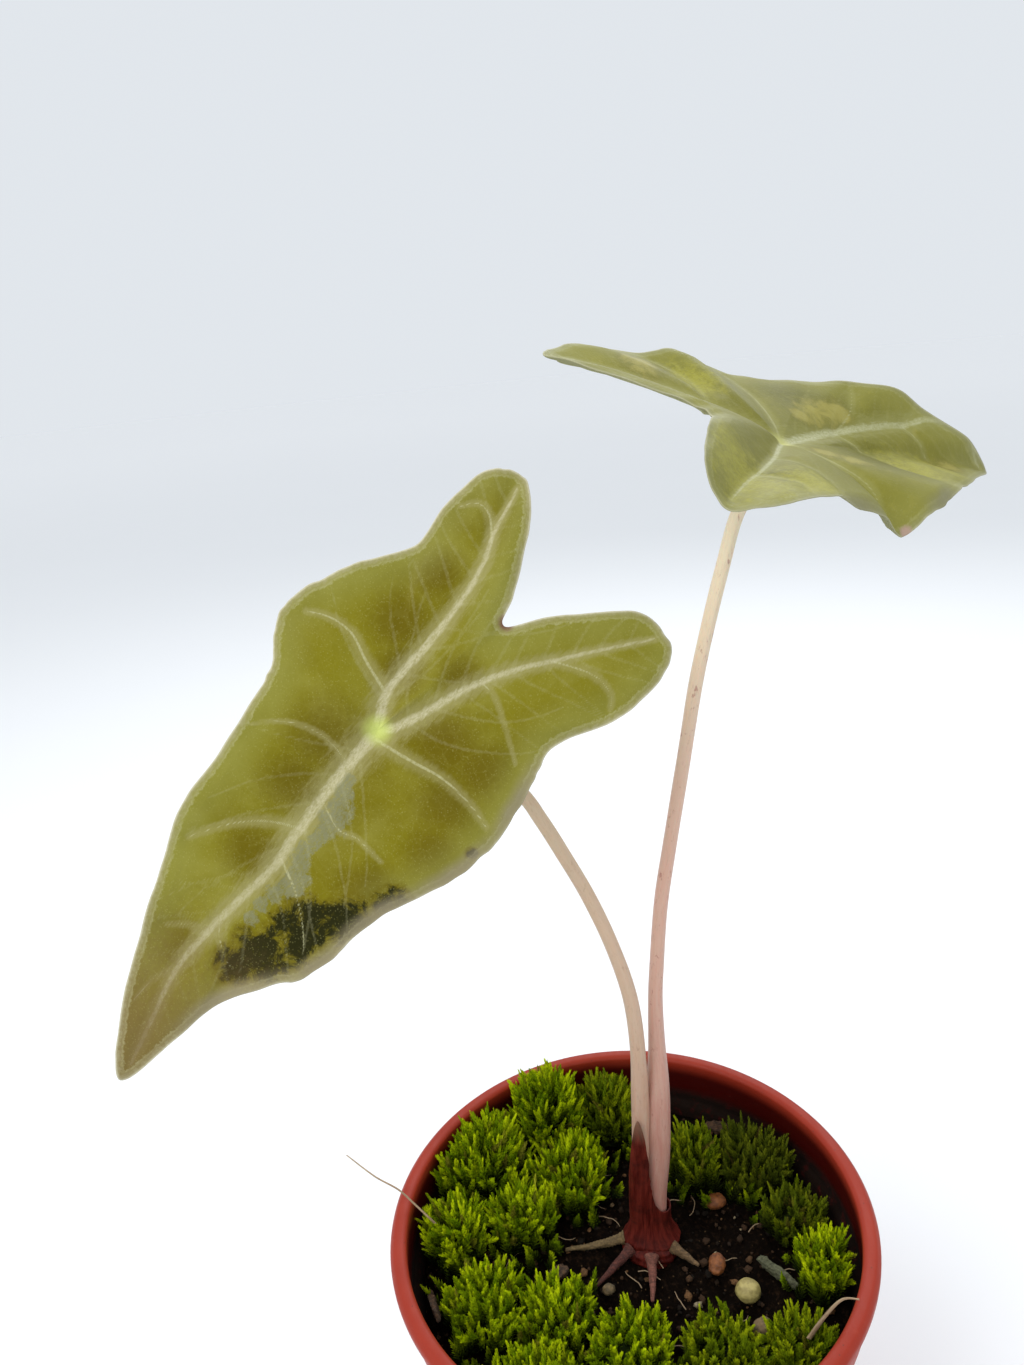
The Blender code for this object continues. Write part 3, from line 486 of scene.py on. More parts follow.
def husk_look():
    """Papery red-brown husk with lengthwise fibres and a dry grey edge."""
    look, n = new_look("husk")
    fibres = n.fibred(n.field("strand", "Vector"), 2.4, 9.0)
    blotch = n.mottled(n.millimetres(), 0.45, 0.45, 0.7)
    colour = n.mix((0.055, 0.004, 0.003), (0.15, 0.018, 0.010), fibres)
    colour = n.tint(colour, (0.028, 0.004, 0.003), blotch, 0.7)
    colour = n.tint(colour, (0.20, 0.105, 0.065), n.ramp(n.field("dry"), 0.80, 1.0), 0.85)
    return finish_look(look, n, colour, n.ramp(fibres, 0.0, 1.0, 0.42, 0.62), fibres, 0.5, 0.2,
                       shine=0.15)


def stalk_look(name, low, middle, high, freckle, freckles):
    """Fleshy stalk: colour along its length, fine lengthwise streaks, and freckles."""
    look, n = new_look(name)
    along = n.field("along")
    strand = n.field("strand", "Vector")
    place = n.millimetres()
    streak = n.fibred(strand, 2.6, 16.0)
    line = n.fibred(strand, 5.0, 8.0)
    spots = n.mottled(n.stretch(place, (1.0, 1.0, 0.45)), 1.5, 0.60, 0.70)
    colour = n.mix(low, middle, n.ramp(along, 0.05, 0.45))
    colour = n.mix(colour, high, n.ramp(along, 0.45, 0.95))
    colour = n.tint(colour, (0.62, 0.52, 0.40), streak, 0.28)
    colour = n.tint(colour, (0.30, 0.17, 0.11), n.ramp(line, 0.7, 1.0), 0.25)
    colour = n.tint(colour, freckle, spots, freckles)
    skin = n.group(SKIN, Vector=place, Scale=5.0)["Height"]
    height = n.plus(n.times(streak, 0.8), n.times(skin, 0.4))
    finish_look(look, n, colour, n.ramp(streak, 0.0, 1.0, 0.38, 0.5), height, 0.25, 0.08)
    shader = look.node_tree.nodes["Principled BSDF"]
    shader.inputs["Subsurface Weight"].default_value = 0.12
    shader.inputs["Subsurface Scale"].default_value = 0.001
    return look


def blade_look(name, c):
    """Living blade: blotched green, pale frayed veins, a pale margin and dark patches."""
    look, n = new_look(name)
    place = n.field("leaf_place", "Vector")
    to_tip = n.add("ShaderNodeSeparateXYZ", {0: place}).outputs[0]
    main, side, thin, margin, heart, under = (n.field(name) for name in (
        "main_vein", "side_vein", "fine_vein", "margin", "heart", "under"))
    fray = n.noise(place, 1.6, 6.0, 0.7)
    brushed = n.noise(n.stretch(place, (0.35, 1.6, 1.0)), 1.5, 6.0, 0.7, 0.6)
    streaks = n.noise(n.stretch(place, (0.5, 1.0, 1.0)), 3.2, 4.0, 0.6, 1.2)
    broken = n.ramp(streaks, 0.30, 0.62, 0.35, 1.0)
    broad = n.mottled(place, 0.05, 0.28, 0.60)

    def frayed(value, reach):
        return n.plus(value, n.times(fray, reach))

    def clouded(field, scale, detail, roughness, distortion, reach):
        cloud = n.noise(place, scale, detail, roughness, distortion)
        return n.plus(n.field(field), n.times(n.math("SUBTRACT", cloud, 0.5), reach))

    def line(distance, width, reach, cloud):
        return n.group(LINE, Distance=distance, Width=width, Fray=reach, Cloud=cloud)[0]

    soft = c["patch_soft"]
    patch = clouded("patch", 0.42, 8.0, 0.72, 0.5, 2.4)
    patched = n.ramp(patch, 0.48 - soft, 0.78 + soft)
    smoked = n.ramp(clouded("smoke", 0.7, 7.0, 0.7, 0.6, 2.2), 0.45 - soft, 0.75 + soft)
    net = n.add("ShaderNodeTexVoronoi", {"Vector": n.stretch(place, (1.0, 1.0, 0.0)),
                                         "Scale": 0.75}, feature="DISTANCE_TO_EDGE")
    web = n.ramp(net.outputs["Distance"], 0.0, 0.07, 1.0, 0.0)
    branch = line(side, 1.15, 1.5, fray)
    far = n.ramp(heart, 4.0, 26.0, c["vein_share"], c["vein_share"] * 0.72)
    rib = n.times(line(main, 1.7, 2.6, brushed), broken, far)
    beside_margin = n.math("ABSOLUTE", n.math("SUBTRACT", frayed(margin, 1.3), 1.55))
    skin = n.group(SKIN, Vector=place, Scale=3.2)

    colour = n.mix(c["dark"], c["body"], n.ramp(broad, 0.0, 1.0, 0.45, 1.0))
    for key, *shares in (
            ("light", n.mottled(place, 0.11, 0.40, 0.75), 0.5),
            ("deep", n.ramp(frayed(n.field("shade"), 0.7), 0.25, 1.5), 0.75),
            ("rim_side", n.ramp(margin, 6.0, 1.0), 0.45),
            ("halo", line(main, 5.5, 7.0, brushed), 0.62),
            ("halo", line(side, 6.5, 7.0, brushed), 0.42),
            ("dark", n.ramp(patch, 0.05, 0.55), n.ramp(n.field("patch"), 0.0, 0.4), 0.8),
            ("patch", patched, n.ramp(fray, 0.30, 0.46, 0.72, 1.0), c["patch_share"]),
            ("smoke", smoked, n.ramp(streaks, 0.34, 0.56, 0.45, 1.0), c["patch_share"] * 0.85),
            ("light", web, fray, n.math("SUBTRACT", 1.0, patched), 0.2),
            ("vein_side", line(thin, 1.3, 2.6, fray), broken, 0.12),
            ("vein_side", branch, broken, 0.68),
            ("vein", rib),
            ("halo", n.ramp(frayed(main, 0.5), 0.1, 0.45, 1.0, 0.0), 0.35),
            ("tip", n.ramp(frayed(to_tip, 14.0), c["tip_start"], c["tip_end"]), c["tip_share"]),
            ("band", n.ramp(frayed(margin, 1.6), 1.9, 0.9), 0.55),
            ("vein_side", n.ramp(beside_margin, 0.0, 0.25, 1.0, 0.0), broken, 0.35),
            ("edge", n.ramp(frayed(margin, 0.25), 0.42, 0.12), 0.75),
            ("curled", n.ramp(margin, 2.4, 0.6), n.field("rolled"), 0.8),
            ("heart", n.ramp(heart, 2.4, 0.3), 0.8),
            ("nick", n.ramp(frayed(n.field("nick"), 1.2), 3.0, 1.6), 0.85),
            ("dots", skin["Dots"], n.noise(place, 0.7, 3.0), 0.35)):
        colour = n.tint(colour, c[key], *shares)
    below = n.tint(c["under"], c["vein"], n.plus(rib, branch), 0.5)
    colour = n.tint(colour, below, under, 0.75)
    roughness = n.plus(n.ramp(broad, 0.0, 1.0, 0.38, 0.48), n.times(under, 0.2))
    height = n.plus(n.times(skin["Height"], 0.7), n.times(fray, 0.9))
    return finish_look(look, n, colour, roughness, height, 0.30, 0.06, shine=0.08)


def left_blade_look():
    """Olive yellow-green with dark patches towards the tip."""
    return blade_look("leaf_olive", {
        "deep": (0.110, 0.078, 0.000), "dark": (0.130, 0.100, 0.001),
        "body": (0.200, 0.176, 0.007),
        "light": (0.300, 0.280, 0.055), "rim_side": (0.260, 0.260, 0.060),
        "patch": (0.010, 0.011, 0.001), "smoke": (0.215, 0.215, 0.120),
        "halo": (0.330, 0.300, 0.120), "vein": (0.520, 0.480, 0.290), "vein_share": 0.95,
        "vein_side": (0.500, 0.480, 0.260), "tip": (0.170, 0.110, 0.035),
        "tip_start": 32.0, "tip_end": 56.0, "tip_share": 0.80,
        "band": (0.420, 0.385, 0.230), "edge": (0.680, 0.640, 0.480),
        "curled": (0.300, 0.255, 0.150), "patch_soft": 0.03, "patch_share": 0.95,
        "heart": (0.560, 0.640, 0.150), "dots": (0.460, 0.440, 0.150),
        "under": (0.300, 0.290, 0.130), "nick": (0.160, 0.050, 0.030),
    })


def right_blade_look():
    """Greyer green with cream-yellow variegation."""
    return blade_look("leaf_grey_green", {
        "deep": (0.125, 0.120, 0.020), "dark": (0.150, 0.142, 0.022),
        "body": (0.210, 0.198, 0.032),
        "light": (0.310, 0.290, 0.055), "rim_side": (0.270, 0.260, 0.065),
        "patch": (0.450, 0.390, 0.100), "smoke": (0.460, 0.430, 0.060),
        "halo": (0.300, 0.290, 0.095), "vein": (0.520, 0.520, 0.310), "vein_share": 0.85,
        "vein_side": (0.390, 0.380, 0.170), "tip": (0.190, 0.175, 0.065),
        "tip_start": 46.0, "tip_end": 66.0, "tip_share": 0.5,
        "band": (0.290, 0.285, 0.150), "edge": (0.480, 0.460, 0.290),
        "curled": (0.240, 0.225, 0.120), "patch_soft": 0.35, "patch_share": 0.6,
        "heart": (0.560, 0.550, 0.190), "dots": (0.360, 0.350, 0.150),
        "under": (0.240, 0.240, 0.120), "nick": (0.450, 0.300, 0.240),
    })


def moss_look():
    """Bright moss: dark down in the cushion, yellow-green at the tips, painted shade in places."""
    look, n = new_look("moss")
    rise = n.field("rise")
    tone = n.field("tone")
    cloud = n.noise(n.millimetres(), 1.4, 4.0, 0.6)
    colour = n.mix((0.006, 0.012, 0.0), (0.270, 0.400, 0.001), n.ramp(rise, 0.14, 0.72))
    colour = n.tint(colour, (0.700, 0.800, 0.006), n.ramp(rise, 0.4, 0.95),
                    n.ramp(tone, 0.1, 0.8))
    # painted shade: moss that lies in shadow is painted darker, by the share it carries
    shaded_colour = n.mix((0.008, 0.010, 0.001), (0.095, 0.105, 0.012), rise)
    colour = n.tint(colour, shaded_colour, n.field("dull"), 0.8)
    colour = n.tint(colour, (0.15, 0.09, 0.03), n.ramp(tone, 0.93, 0.97),
                    n.ramp(rise, 0.2, 0.6), 0.7)
    colour = n.mix(colour, (0.040, 0.065, 0.001), n.ramp(cloud, 0.52, 0.34, 0.0, 0.5))
    return finish_look(look, n, colour, n.ramp(cloud, 0.3, 0.7, 0.7, 0.9), cloud, 0.3, 0.1,
                       shine=0.10)


def grain_look(name, first, second, third, rough):
    """A mineral or bark grain, clouded and pitted."""
    look, n = new_look(name)
    place = n.millimetres()
    colour = n.mix(first, second, n.ramp(n.noise(place, 1.1, 5.0, 0.6), 0.38, 0.62))
    pits = n.noise(place, 5.0, 6.0, 0.7)
    colour = n.mix(colour, third, n.ramp(pits, 0.6, 0.72, 0.0, 0.8))
    return finish_look(look, n, colour, n.ramp(pits, 0.3, 0.7, rough - 0.1, rough + 0.15), pits,
                       0.6, 0.15)


def wood_look(name, first, second, third):
    """Bark or twig: streaked along its length, flaky."""
    look, n = new_look(name)
    place = n.millimetres()
    flakes = n.noise(n.stretch(place, (1.0, 1.6, 2.6)), 1.3, 7.0, 0.7, 0.8)
    fine = n.noise(place, 4.5, 5.0, 0.7)
    colour = n.mix(first, second, n.ramp(flakes, 0.4, 0.62))
    colour = n.mix(colour, third, n.ramp(fine, 0.6, 0.72, 0.0, 0.7))
    return finish_look(look, n, colour, n.ramp(fine, 0.3, 0.7, 0.65, 0.95), flakes, 0.8, 0.3)


def straw_look():
    """Dry straw with lengthwise fibres."""
    look, n = new_look("straw")
    fibres = n.fibred(n.field("strand", "Vector"), 4.0, 12.0)
    spots = n.noise(n.millimetres(), 1.5, 4.0)
    colour = n.mix((0.24, 0.15, 0.085), (0.46, 0.34, 0.20), fibres)
    colour = n.mix(colour, (0.16, 0.09, 0.05), n.ramp(spots, 0.58, 0.7, 0.0, 0.6))
    return finish_look(look, n, colour, n.ramp(spots, 0.3, 0.7, 0.55, 0.8), fibres, 0.4, 0.05)


def floor_look():
    """Plain pale studio floor, white far away."""
    look, n = new_look("studio_floor")
    place = n.millimetres()
    cloud = n.noise(place, 0.004, 3.0)
    away = n.add("ShaderNodeVectorMath", {0: place}, operation="LENGTH").outputs["Value"]
    colour = n.mix((0.92, 0.925, 0.93), (0.94, 0.945, 0.95), cloud)
    colour = n.mix(colour, (1.0, 1.0, 1.0), n.ramp(away, 500.0, 2500.0))
    return finish_look(look, n, colour, n.ramp(cloud, 0.3, 0.7, 0.8, 0.9), shine=0.1)


# ---------------------------------------------------------------- mesh helpers

def piece(name, places, faces, look, fields=None, smooth=True):
    """A mesh object from places in millimetres, with values that its material reads."""
    mesh = bpy.data.meshes.new(name)
    mesh.from_pydata((np.asarray(places, float) * MM).tolist(), [], faces)
    for field, values in (fields or {}).items():
        values = np.asarray(values, np.float32)
        kind = "FLOAT_VECTOR" if values.ndim == 2 else "FLOAT"
        layer = mesh.attributes.new(field, kind, "POINT")
        layer.data.foreach_set("vector" if values.ndim == 2 else "value", values.ravel())
    mesh.materials.append(look)
    if smooth:
        mesh.shade_smooth()
    item = bpy.data.objects.new(name, mesh)
    bpy.context.scene.collection.objects.link(item)
    return item


def box_of(node):
    """A node's low and high corners, in millimetres."""
    return [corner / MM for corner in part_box(node)]


def from_crown(x, y):
    """Distance of a place on the soil from the middle of the crown."""
    return math.hypot(x - CROWN.x, y - CROWN.y)


def ring_quads(levels, sides):
    """Quads between rings of places that are stacked level by level."""
    quads = []
    for low in range(0, levels * sides, sides):
        for i in range(sides):
            j = (i + 1) % sides
            quads.append((low + i, low + j, low + sides + j, low + sides + i))
    return quads


def gathered(forms):
    """Many small forms as one: places, faces and fields."""
    total = 0
    faces = []
    for places, cells, _ in forms:
        faces += [tuple(i + total for i in cell) for cell in cells]
        total += len(places)
    fields = {key: np.concatenate([values[key] for _, _, values in forms])
              for key in forms[0][2]}
    return np.concatenate([places for places, _, _ in forms]), faces, fields


def run_lengths(points):
    """Length along a route at each of its points."""
    return np.r_[0, np.cumsum(np.linalg.norm(np.diff(points, axis=0), axis=1))]


def stands(item, slot, *nodes):
    """The piece rides on the plant and stands for its nodes; slot is not used."""
    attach(item, "root")
    if nodes:
        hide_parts(*nodes)
    return item


def smooth_run(stations, steps, closed=False):
    """Rows of numbers on a smooth curve through stations, steps to a span."""
    rows = np.array(stations, float)
    count = len(rows)
    t = (np.arange(steps) / steps)[:, None]
    spans = []
    for i in range(count if closed else count - 1):
        reach = [(i + k) % count if closed else min(max(i + k, 0), count - 1)
                 for k in (-1, 0, 1, 2)]
        p0, p1, p2, p3 = rows[reach]
        spans.append(0.5 * (2 * p1 + (p2 - p0) * t + (2 * p0 - 5 * p1 + 4 * p2 - p3) * t ** 2
                            + (3 * p1 - p0 - 3 * p2 + p3) * t ** 3))
    if not closed:
        spans.append(rows[-1:])
    return np.concatenate(spans)


def evenly(rows, count):
    """The same curve with rows evenly spread along it by their first three numbers."""
    runs = run_lengths(rows[:, :3])
    goals = np.linspace(0, runs[-1], count)
    return np.stack([np.interp(goals, runs, column) for column in rows.T], axis=1)


def tube_form(rows, sides, shape=None):
    """Places, faces and fields of a tube along rows of (x, y, z, radius)."""
    points = rows[:, :3]
    ways = np.gradient(points, axis=0)
    ways /= np.linalg.norm(ways, axis=1)[:, None]
    across = np.cross(ways[0], (0.0, 1.0, 0.0))
    if np.linalg.norm(across) < 0.1:
        across = np.cross(ways[0], (1.0, 0.0, 0.0))
    angles = np.arange(sides) * math.tau / sides
    rings = []
    for k, (point, way, radius) in enumerate(zip(points, ways, rows[:, 3])):
        across = across - way * (across @ way)
        across /= np.linalg.norm(across)
        beside = np.cross(way, across)
        reach = np.full(sides, radius) if shape is None else radius * shape(k, angles)
        rings.append(point + reach[:, None] * (np.cos(angles)[:, None] * across
                                               + np.sin(angles)[:, None] * beside))
    places = np.concatenate(rings)
    faces = ring_quads(len(rows) - 1, sides)
    faces.append(tuple(range(sides))[::-1])
    faces.append(tuple((len(rows) - 1) * sides + i for i in range(sides)))
    runs = run_lengths(points)
    wide = rows[:, 3].mean()
    strand = np.stack([
        np.tile(np.cos(angles) * wide, len(rows)), np.repeat(runs, sides),
        np.tile(np.sin(angles) * wide, len(rows))], axis=1)
    return places, faces, {"along": np.repeat(runs / runs[-1], sides), "strand": strand}


def lathe_form(profile, steps):
    """Places and faces of a profile turned about Z; its ends are on the axis."""
    rows = np.array(profile[1:-1], float)
    angles = np.arange(steps) * math.tau / steps
    places = np.concatenate([
        np.stack([r * np.cos(angles), r * np.sin(angles), np.full(steps, z)], axis=1)
        for r, z in rows])
    first = len(places)
    places = np.vstack([places, (0, 0, profile[0][1]), (0, 0, profile[-1][1])])
    faces = [(a, d, c, b) for a, b, c, d in ring_quads(len(rows) - 1, steps)]
    last = (len(rows) - 1) * steps
    for i in range(steps):
        j = (i + 1) % steps
        faces.append((first, i, j))
        faces.append((first + 1, last + j, last + i))
    return places, faces


def rounded(profile, radius, steps=4):
    """A profile with its corners eased over a distance, ends kept."""
    points = [Vector(p) for p in profile]
    out = [points[0]]
    for before, corner, after in zip(points, points[1:], points[2:]):
        back = before - corner
        ahead = after - corner
        ease = min(radius, back.length * 0.45, ahead.length * 0.45)
        start = corner + back.normalized() * ease
        end = corner + ahead.normalized() * ease
        for k in range(steps + 1):
            t = k / steps
            out.append(start * (1 - t) ** 2 + corner * 2 * t * (1 - t) + end * t ** 2)
    out.append(points[-1])
    return [(p.x, p.y) for p in out]


def soil_bump(x, y):
    """Height of the soil's broad unevenness, fading out round the crown."""
    fade = min(max((from_crown(x, y) - CORM_RADIUS) / SOIL_BUMP_FADE, 0.0), 1.0)
    return SOIL_BUMP * fade * noise.noise(Vector((x, y, 0.0)) / SOIL_BUMP_SPACING)


def node_form(name, cuts, keep_round=True):
    """A copy of a node's own solid as a finer bmesh in millimetres."""
    form = bmesh.new()
    form.from_mesh(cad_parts[name].data)
    bmesh.ops.scale(form, vec=(1 / MM,) * 3, verts=form.verts)
    bmesh.ops.remove_doubles(form, verts=form.verts, dist=0.002)
    for _ in range(cuts):
        bmesh.ops.subdivide_edges(form, edges=form.edges, cuts=1, use_grid_fill=True,
                                  smooth=0.9 if keep_round else 0.0)
    form.normal_update()
    return form


def roughened(name, source, cuts, size, spacing, look, keep_round=True):
    """A finer, rougher body in the place of a node, worn inward and outward by noise."""
    form = node_form(source, cuts, keep_round)
    places = [vertex.co + vertex.normal * size * noise.fractal(
        vertex.co / spacing, 0.6, 2.1, 5, noise_basis="PERLIN_ORIGINAL")
        for vertex in form.verts]
    form.verts.index_update()
    faces = [tuple(vertex.index for vertex in face.verts) for face in form.faces]
    form.free()
    return piece(name, places, faces, look)


# ---------------------------------------------------------------- pot and soil

def base_inside(lift, inset):
    """The stepped inside of the base, raised and drawn in."""
    return [
        (0.0, POT_WALL + lift), (CENTRE_FOOT_RADIUS - inset, POT_WALL + lift),
        (CENTRE_FOOT_RADIUS + CHANNEL_SLOPE - inset, POT_WALL + CHANNEL_LIFT + lift),
        (FOOT_INNER - CHANNEL_SLOPE + inset, POT_WALL + CHANNEL_LIFT + lift),
        (FOOT_INNER + inset, POT_WALL + lift),
    ]


def pot_shell(look):
    """Thin-walled pot with a rolled rim, a collar, a stepped foot and drain holes."""
    lip = RIM_RADIUS - RIM_WIDTH / 2
    inside = base_inside(0.0, 0.0) + [
        (FOOT_RADIUS - POT_WALL, POT_WALL), (BODY_INNER, BODY_TOP),
        (COLLAR_INNER, COLLAR_BASE), (COLLAR_INNER, POT_HEIGHT - 0.5),
    ]
    outside = [
        (COLLAR_INNER + 0.5, POT_HEIGHT - 0.06), (lip, POT_HEIGHT),
        (RIM_RADIUS - 0.6, POT_HEIGHT - 0.08), (RIM_RADIUS, POT_HEIGHT - 0.7),
        (RIM_RADIUS, POT_HEIGHT - RIM_DEPTH), (COLLAR_INNER + POT_WALL, POT_HEIGHT - RIM_DEPTH),
        (COLLAR_INNER + POT_WALL, COLLAR_BASE), (BODY_INNER + POT_WALL, BODY_TOP),
        (FOOT_RADIUS, 1.2), (FOOT_RADIUS - 0.5, 0.0), (FOOT_INNER, 0.0),
        (FOOT_INNER - CHANNEL_SLOPE, CHANNEL_LIFT),
        (CENTRE_FOOT_RADIUS + CHANNEL_SLOPE, CHANNEL_LIFT),
        (CENTRE_FOOT_RADIUS, 0.0), (3.2, 0.0), (2.9, 0.35), (1.3, 0.35), (1.1, 0.1),
        (0.0, 0.1),
    ]
    places, faces = lathe_form(rounded(inside + outside, 0.35), POT_STEPS)
    shell = piece("pot_shell", places, faces, look)
    drills = piece("drain_drills", *drill_form(), look)
    cut = shell.modifiers.new("Drain", "BOOLEAN")
    cut.operation = "DIFFERENCE"
    cut.solver = "EXACT"
    cut.object = drills
    bpy.context.view_layer.update()
    drilled = bpy.data.meshes.new_from_object(
        shell.evaluated_get(bpy.context.evaluated_depsgraph_get()))
    shell.modifiers.clear()
    shell.data = drilled
    bpy.data.objects.remove(drills)
    radii = np.array([math.hypot(v.co.x, v.co.y) / MM for v in drilled.vertices])
    heights = np.array([v.co.z / MM for v in drilled.vertices])
    taper = FOOT_RADIUS - 0.5 + (BODY_INNER - FOOT_RADIUS + POT_WALL) * heights / BODY_TOP
    wall = np.where(heights > COLLAR_BASE - 0.5, COLLAR_INNER + 0.45, taper)
    layer = drilled.attributes.new("inside", "FLOAT", "POINT")
    layer.data.foreach_set("value", (radii < wall).astype(np.float32))
    drilled.shade_smooth()
    drilled.set_sharp_from_angle(angle=math.radians(38))
    return stands(shell, "terracotta_plastic", "pot")


def drill_form():
    """Round rods where the drain holes are."""
    ring = (CENTRE_FOOT_RADIUS + FOOT_INNER) / 2
    rods = []
    for hole in range(DRAIN_HOLES):
        angle = math.tau * (hole + 0.5) / DRAIN_HOLES
        middle = (ring * math.cos(angle), ring * math.sin(angle))
        rods.append(tube_form(np.array([(*middle, 0.4, DRAIN_RADIUS),
                                        (*middle, 4.0, DRAIN_RADIUS)]), 28))
    return gathered(rods)[:2]


def soil_body(look):
    """Potting mix: a crumbly top on a plain plug that fills the pot."""
    foot = FOOT_RADIUS - POT_WALL - SOIL_EASE
    top_radius = foot + (SOIL_RADIUS - foot) * (SOIL_Z - POT_WALL) / (BODY_TOP - POT_WALL)
    profile = [(top_radius * i / SOIL_RINGS, SOIL_Z) for i in range(SOIL_RINGS + 1)]
    profile += [(foot, POT_WALL + GAP), *reversed(base_inside(GAP, GAP))]
    places, faces = lathe_form(profile[::-1], SOIL_STEPS)
    for place in places:
        if place[2] > SOIL_Z - 0.1:
            x, y, _ = place
            clods = noise.fractal(Vector((x, y, 3.0)) / 2.4, 0.7, 2.2, 5)
            rest = min(math.hypot(x, y) / top_radius, 1.0) ** 14
            place[2] += soil_bump(x, y) + 0.75 * clods * (1 - rest) - 0.15
            if from_crown(x, y) < CORM_RADIUS:
                place[2] -= 0.8
    return stands(piece("mix_surface", places, faces, look), "potting_mix", "potting_mix")


def scattered(count, keep):
    """Random places on the soil that keep() allows."""
    spots = []
    while len(spots) < count:
        angle = random.uniform(0, math.tau)
        away = (SOIL_RADIUS - 0.6) * math.sqrt(random.random())
        x = away * math.cos(angle)
        y = away * math.sin(angle)
        if keep(x, y):
            spots.append((x, y))
    return spots


def off_corm(x, y):
    """True outside the corm."""
    return from_crown(x, y) > CORM_RADIUS + GAP


def crumb_bed(look):
    """Loose crumbs on the soil, each its own broken lump."""
    source = bmesh.new()
    bmesh.ops.create_icosphere(source, subdivisions=2, radius=1.0)
    ball = np.array([v.co for v in source.verts])
    cells = [tuple(v.index for v in f.verts) for f in source.faces]
    source.free()
    crumbs = []
    for x, y in scattered(CRUMBS, off_corm):
        size = 0.25 + 0.75 * random.random() ** 2.6
        shift = Vector((x * 3.1, y * 2.7, size * 9))
        swell = np.array([0.72 + 0.5 * noise.noise(Vector(p) * 1.3 + shift)
                          + 0.16 * noise.noise(Vector(p) * 4.1 + shift) for p in ball])
        shape = ball * swell[:, None] * (size, size * random.uniform(0.6, 1.0),
                                         size * random.uniform(0.45, 0.9))
        turn = np.array(Matrix.Rotation(random.uniform(0, math.tau), 3, "Z"))
        height = SOIL_Z + soil_bump(x, y) + size * 0.25
        crumbs.append((shape @ turn.T + (x, y, height), cells,
                       {"tone": np.full(len(ball), random.random())}))
    places, faces, fields = gathered(crumbs)
    return stands(piece("soil_crumbs", places, faces, look, fields), "potting_mix")


def fibre_bed(look):
    """Short curled fibres of coir that stick out of the mix."""
    fibres = []
    for x, y in scattered(FIBRES, off_corm):
        heading = random.uniform(0, math.tau)
        rows = []
        for k in range(6):
            rows.append((x, y, SOIL_Z + soil_bump(x, y) + 0.3 + 0.35 * math.sin(k * 0.8),
                         0.09 - 0.008 * k))
            step = random.uniform(0.5, 1.0)
            heading += random.uniform(-0.5, 0.5)
            x += step * math.cos(heading)
            y += step * math.sin(heading)
            if math.hypot(x, y) > SOIL_RADIUS - 0.5:
                break
        if len(rows) > 3:
            fibres.append(tube_form(smooth_run(rows, 3), 5))
    places, faces, fields = gathered(fibres)
    return stands(piece("coir_fibres", places, faces, look, fields), "potting_mix")


# ---------------------------------------------------------------- crown

def column_rows():
    """Both stalks' stations in the joined part."""
    left = []
    right = []
    touch = LEFT_STALK_RADIUS * COLUMN[0][3] + RIGHT_STALK_RADIUS * COLUMN[0][6] + GAP
    for share, x, y, wide, apart, right_y, right_wide in COLUMN:
        z = STALK_BASE + share * (SOIL_Z + COLUMN_HEIGHT - STALK_BASE)
        first = LEFT_STALK_RADIUS * wide
        second = RIGHT_STALK_RADIUS * right_wide
        left_x = CROWN.x + x - touch / 2
        right_x = left_x + (first + second + GAP) * apart
        left.append((left_x, CROWN.y + y, z, first))
        right.append((right_x, CROWN.y + right_y, z, second))
    return left, right


def stalk_rows(column, rise, junction, facing, radius):
    """Stations of a whole stalk up to the underside of its blade."""
    low = SOIL_Z + COLUMN_HEIGHT
    rows = list(column)
    for x, y, share, wide in rise:
        rows.append((CROWN.x + x, CROWN.y + y, low + share * (junction.z - low),
                     radius * wide))
    top = junction - facing.normalized() * STALK_TOP_GAP
    rows.append((*(top - facing.normalized() * STALK_END), radius))
    rows.append((*top, radius * 1.15))
    return rows


def stalk(name, rows, clasp, look, slot, node):
    """A fleshy stalk, slightly ribbed; low down it swells on one side to clasp the other."""
    run = evenly(smooth_run(rows, 12), 260)
    phase = len(name)
    joined = np.clip((SOIL_Z + COLUMN_HEIGHT - 1.0 - run[:, 2]) / 9.0, 0, 1)

    def ribbed(k, angles):
        wave = 0.020 * np.sin(5 * angles + phase + k * 0.01)
        swell = 0.34 * joined[k] * np.clip(clasp * np.cos(angles), 0, 1) ** 1.5
        return 1 + wave + swell + 0.018 * math.sin(k * 0.21 + phase) * np.sin(2 * angles)

    places, faces, fields = tube_form(run, 30, ribbed)
    return stands(piece(name, places, faces, look, fields), slot, node)


def row_at(rows, z):
    """A stalk's station at a height in the joined part."""
    table = np.array(rows)
    return [np.interp(z, table[:, 2], table[:, k]) for k in range(4)]


def wrapped(left, right, bearing, ease):
    """Where a skin stretched round both stalks lies, at a bearing from their middle."""
    middle = ((left[0] + right[0]) / 2, (left[1] + right[1]) / 2)
    reach = []
    for step in range(-16, 17):
        lean = math.radians(step * 5)
        x = math.cos(bearing + lean)
        y = math.sin(bearing + lean)
        touch = max(x * (stem[0] - middle[0]) + y * (stem[1] - middle[1]) + stem[3]
                    for stem in (left, right))
        reach.append((touch + ease) / math.cos(lean))
    away = min(reach)
    return middle[0] + away * math.cos(bearing), middle[1] + away * math.sin(bearing)


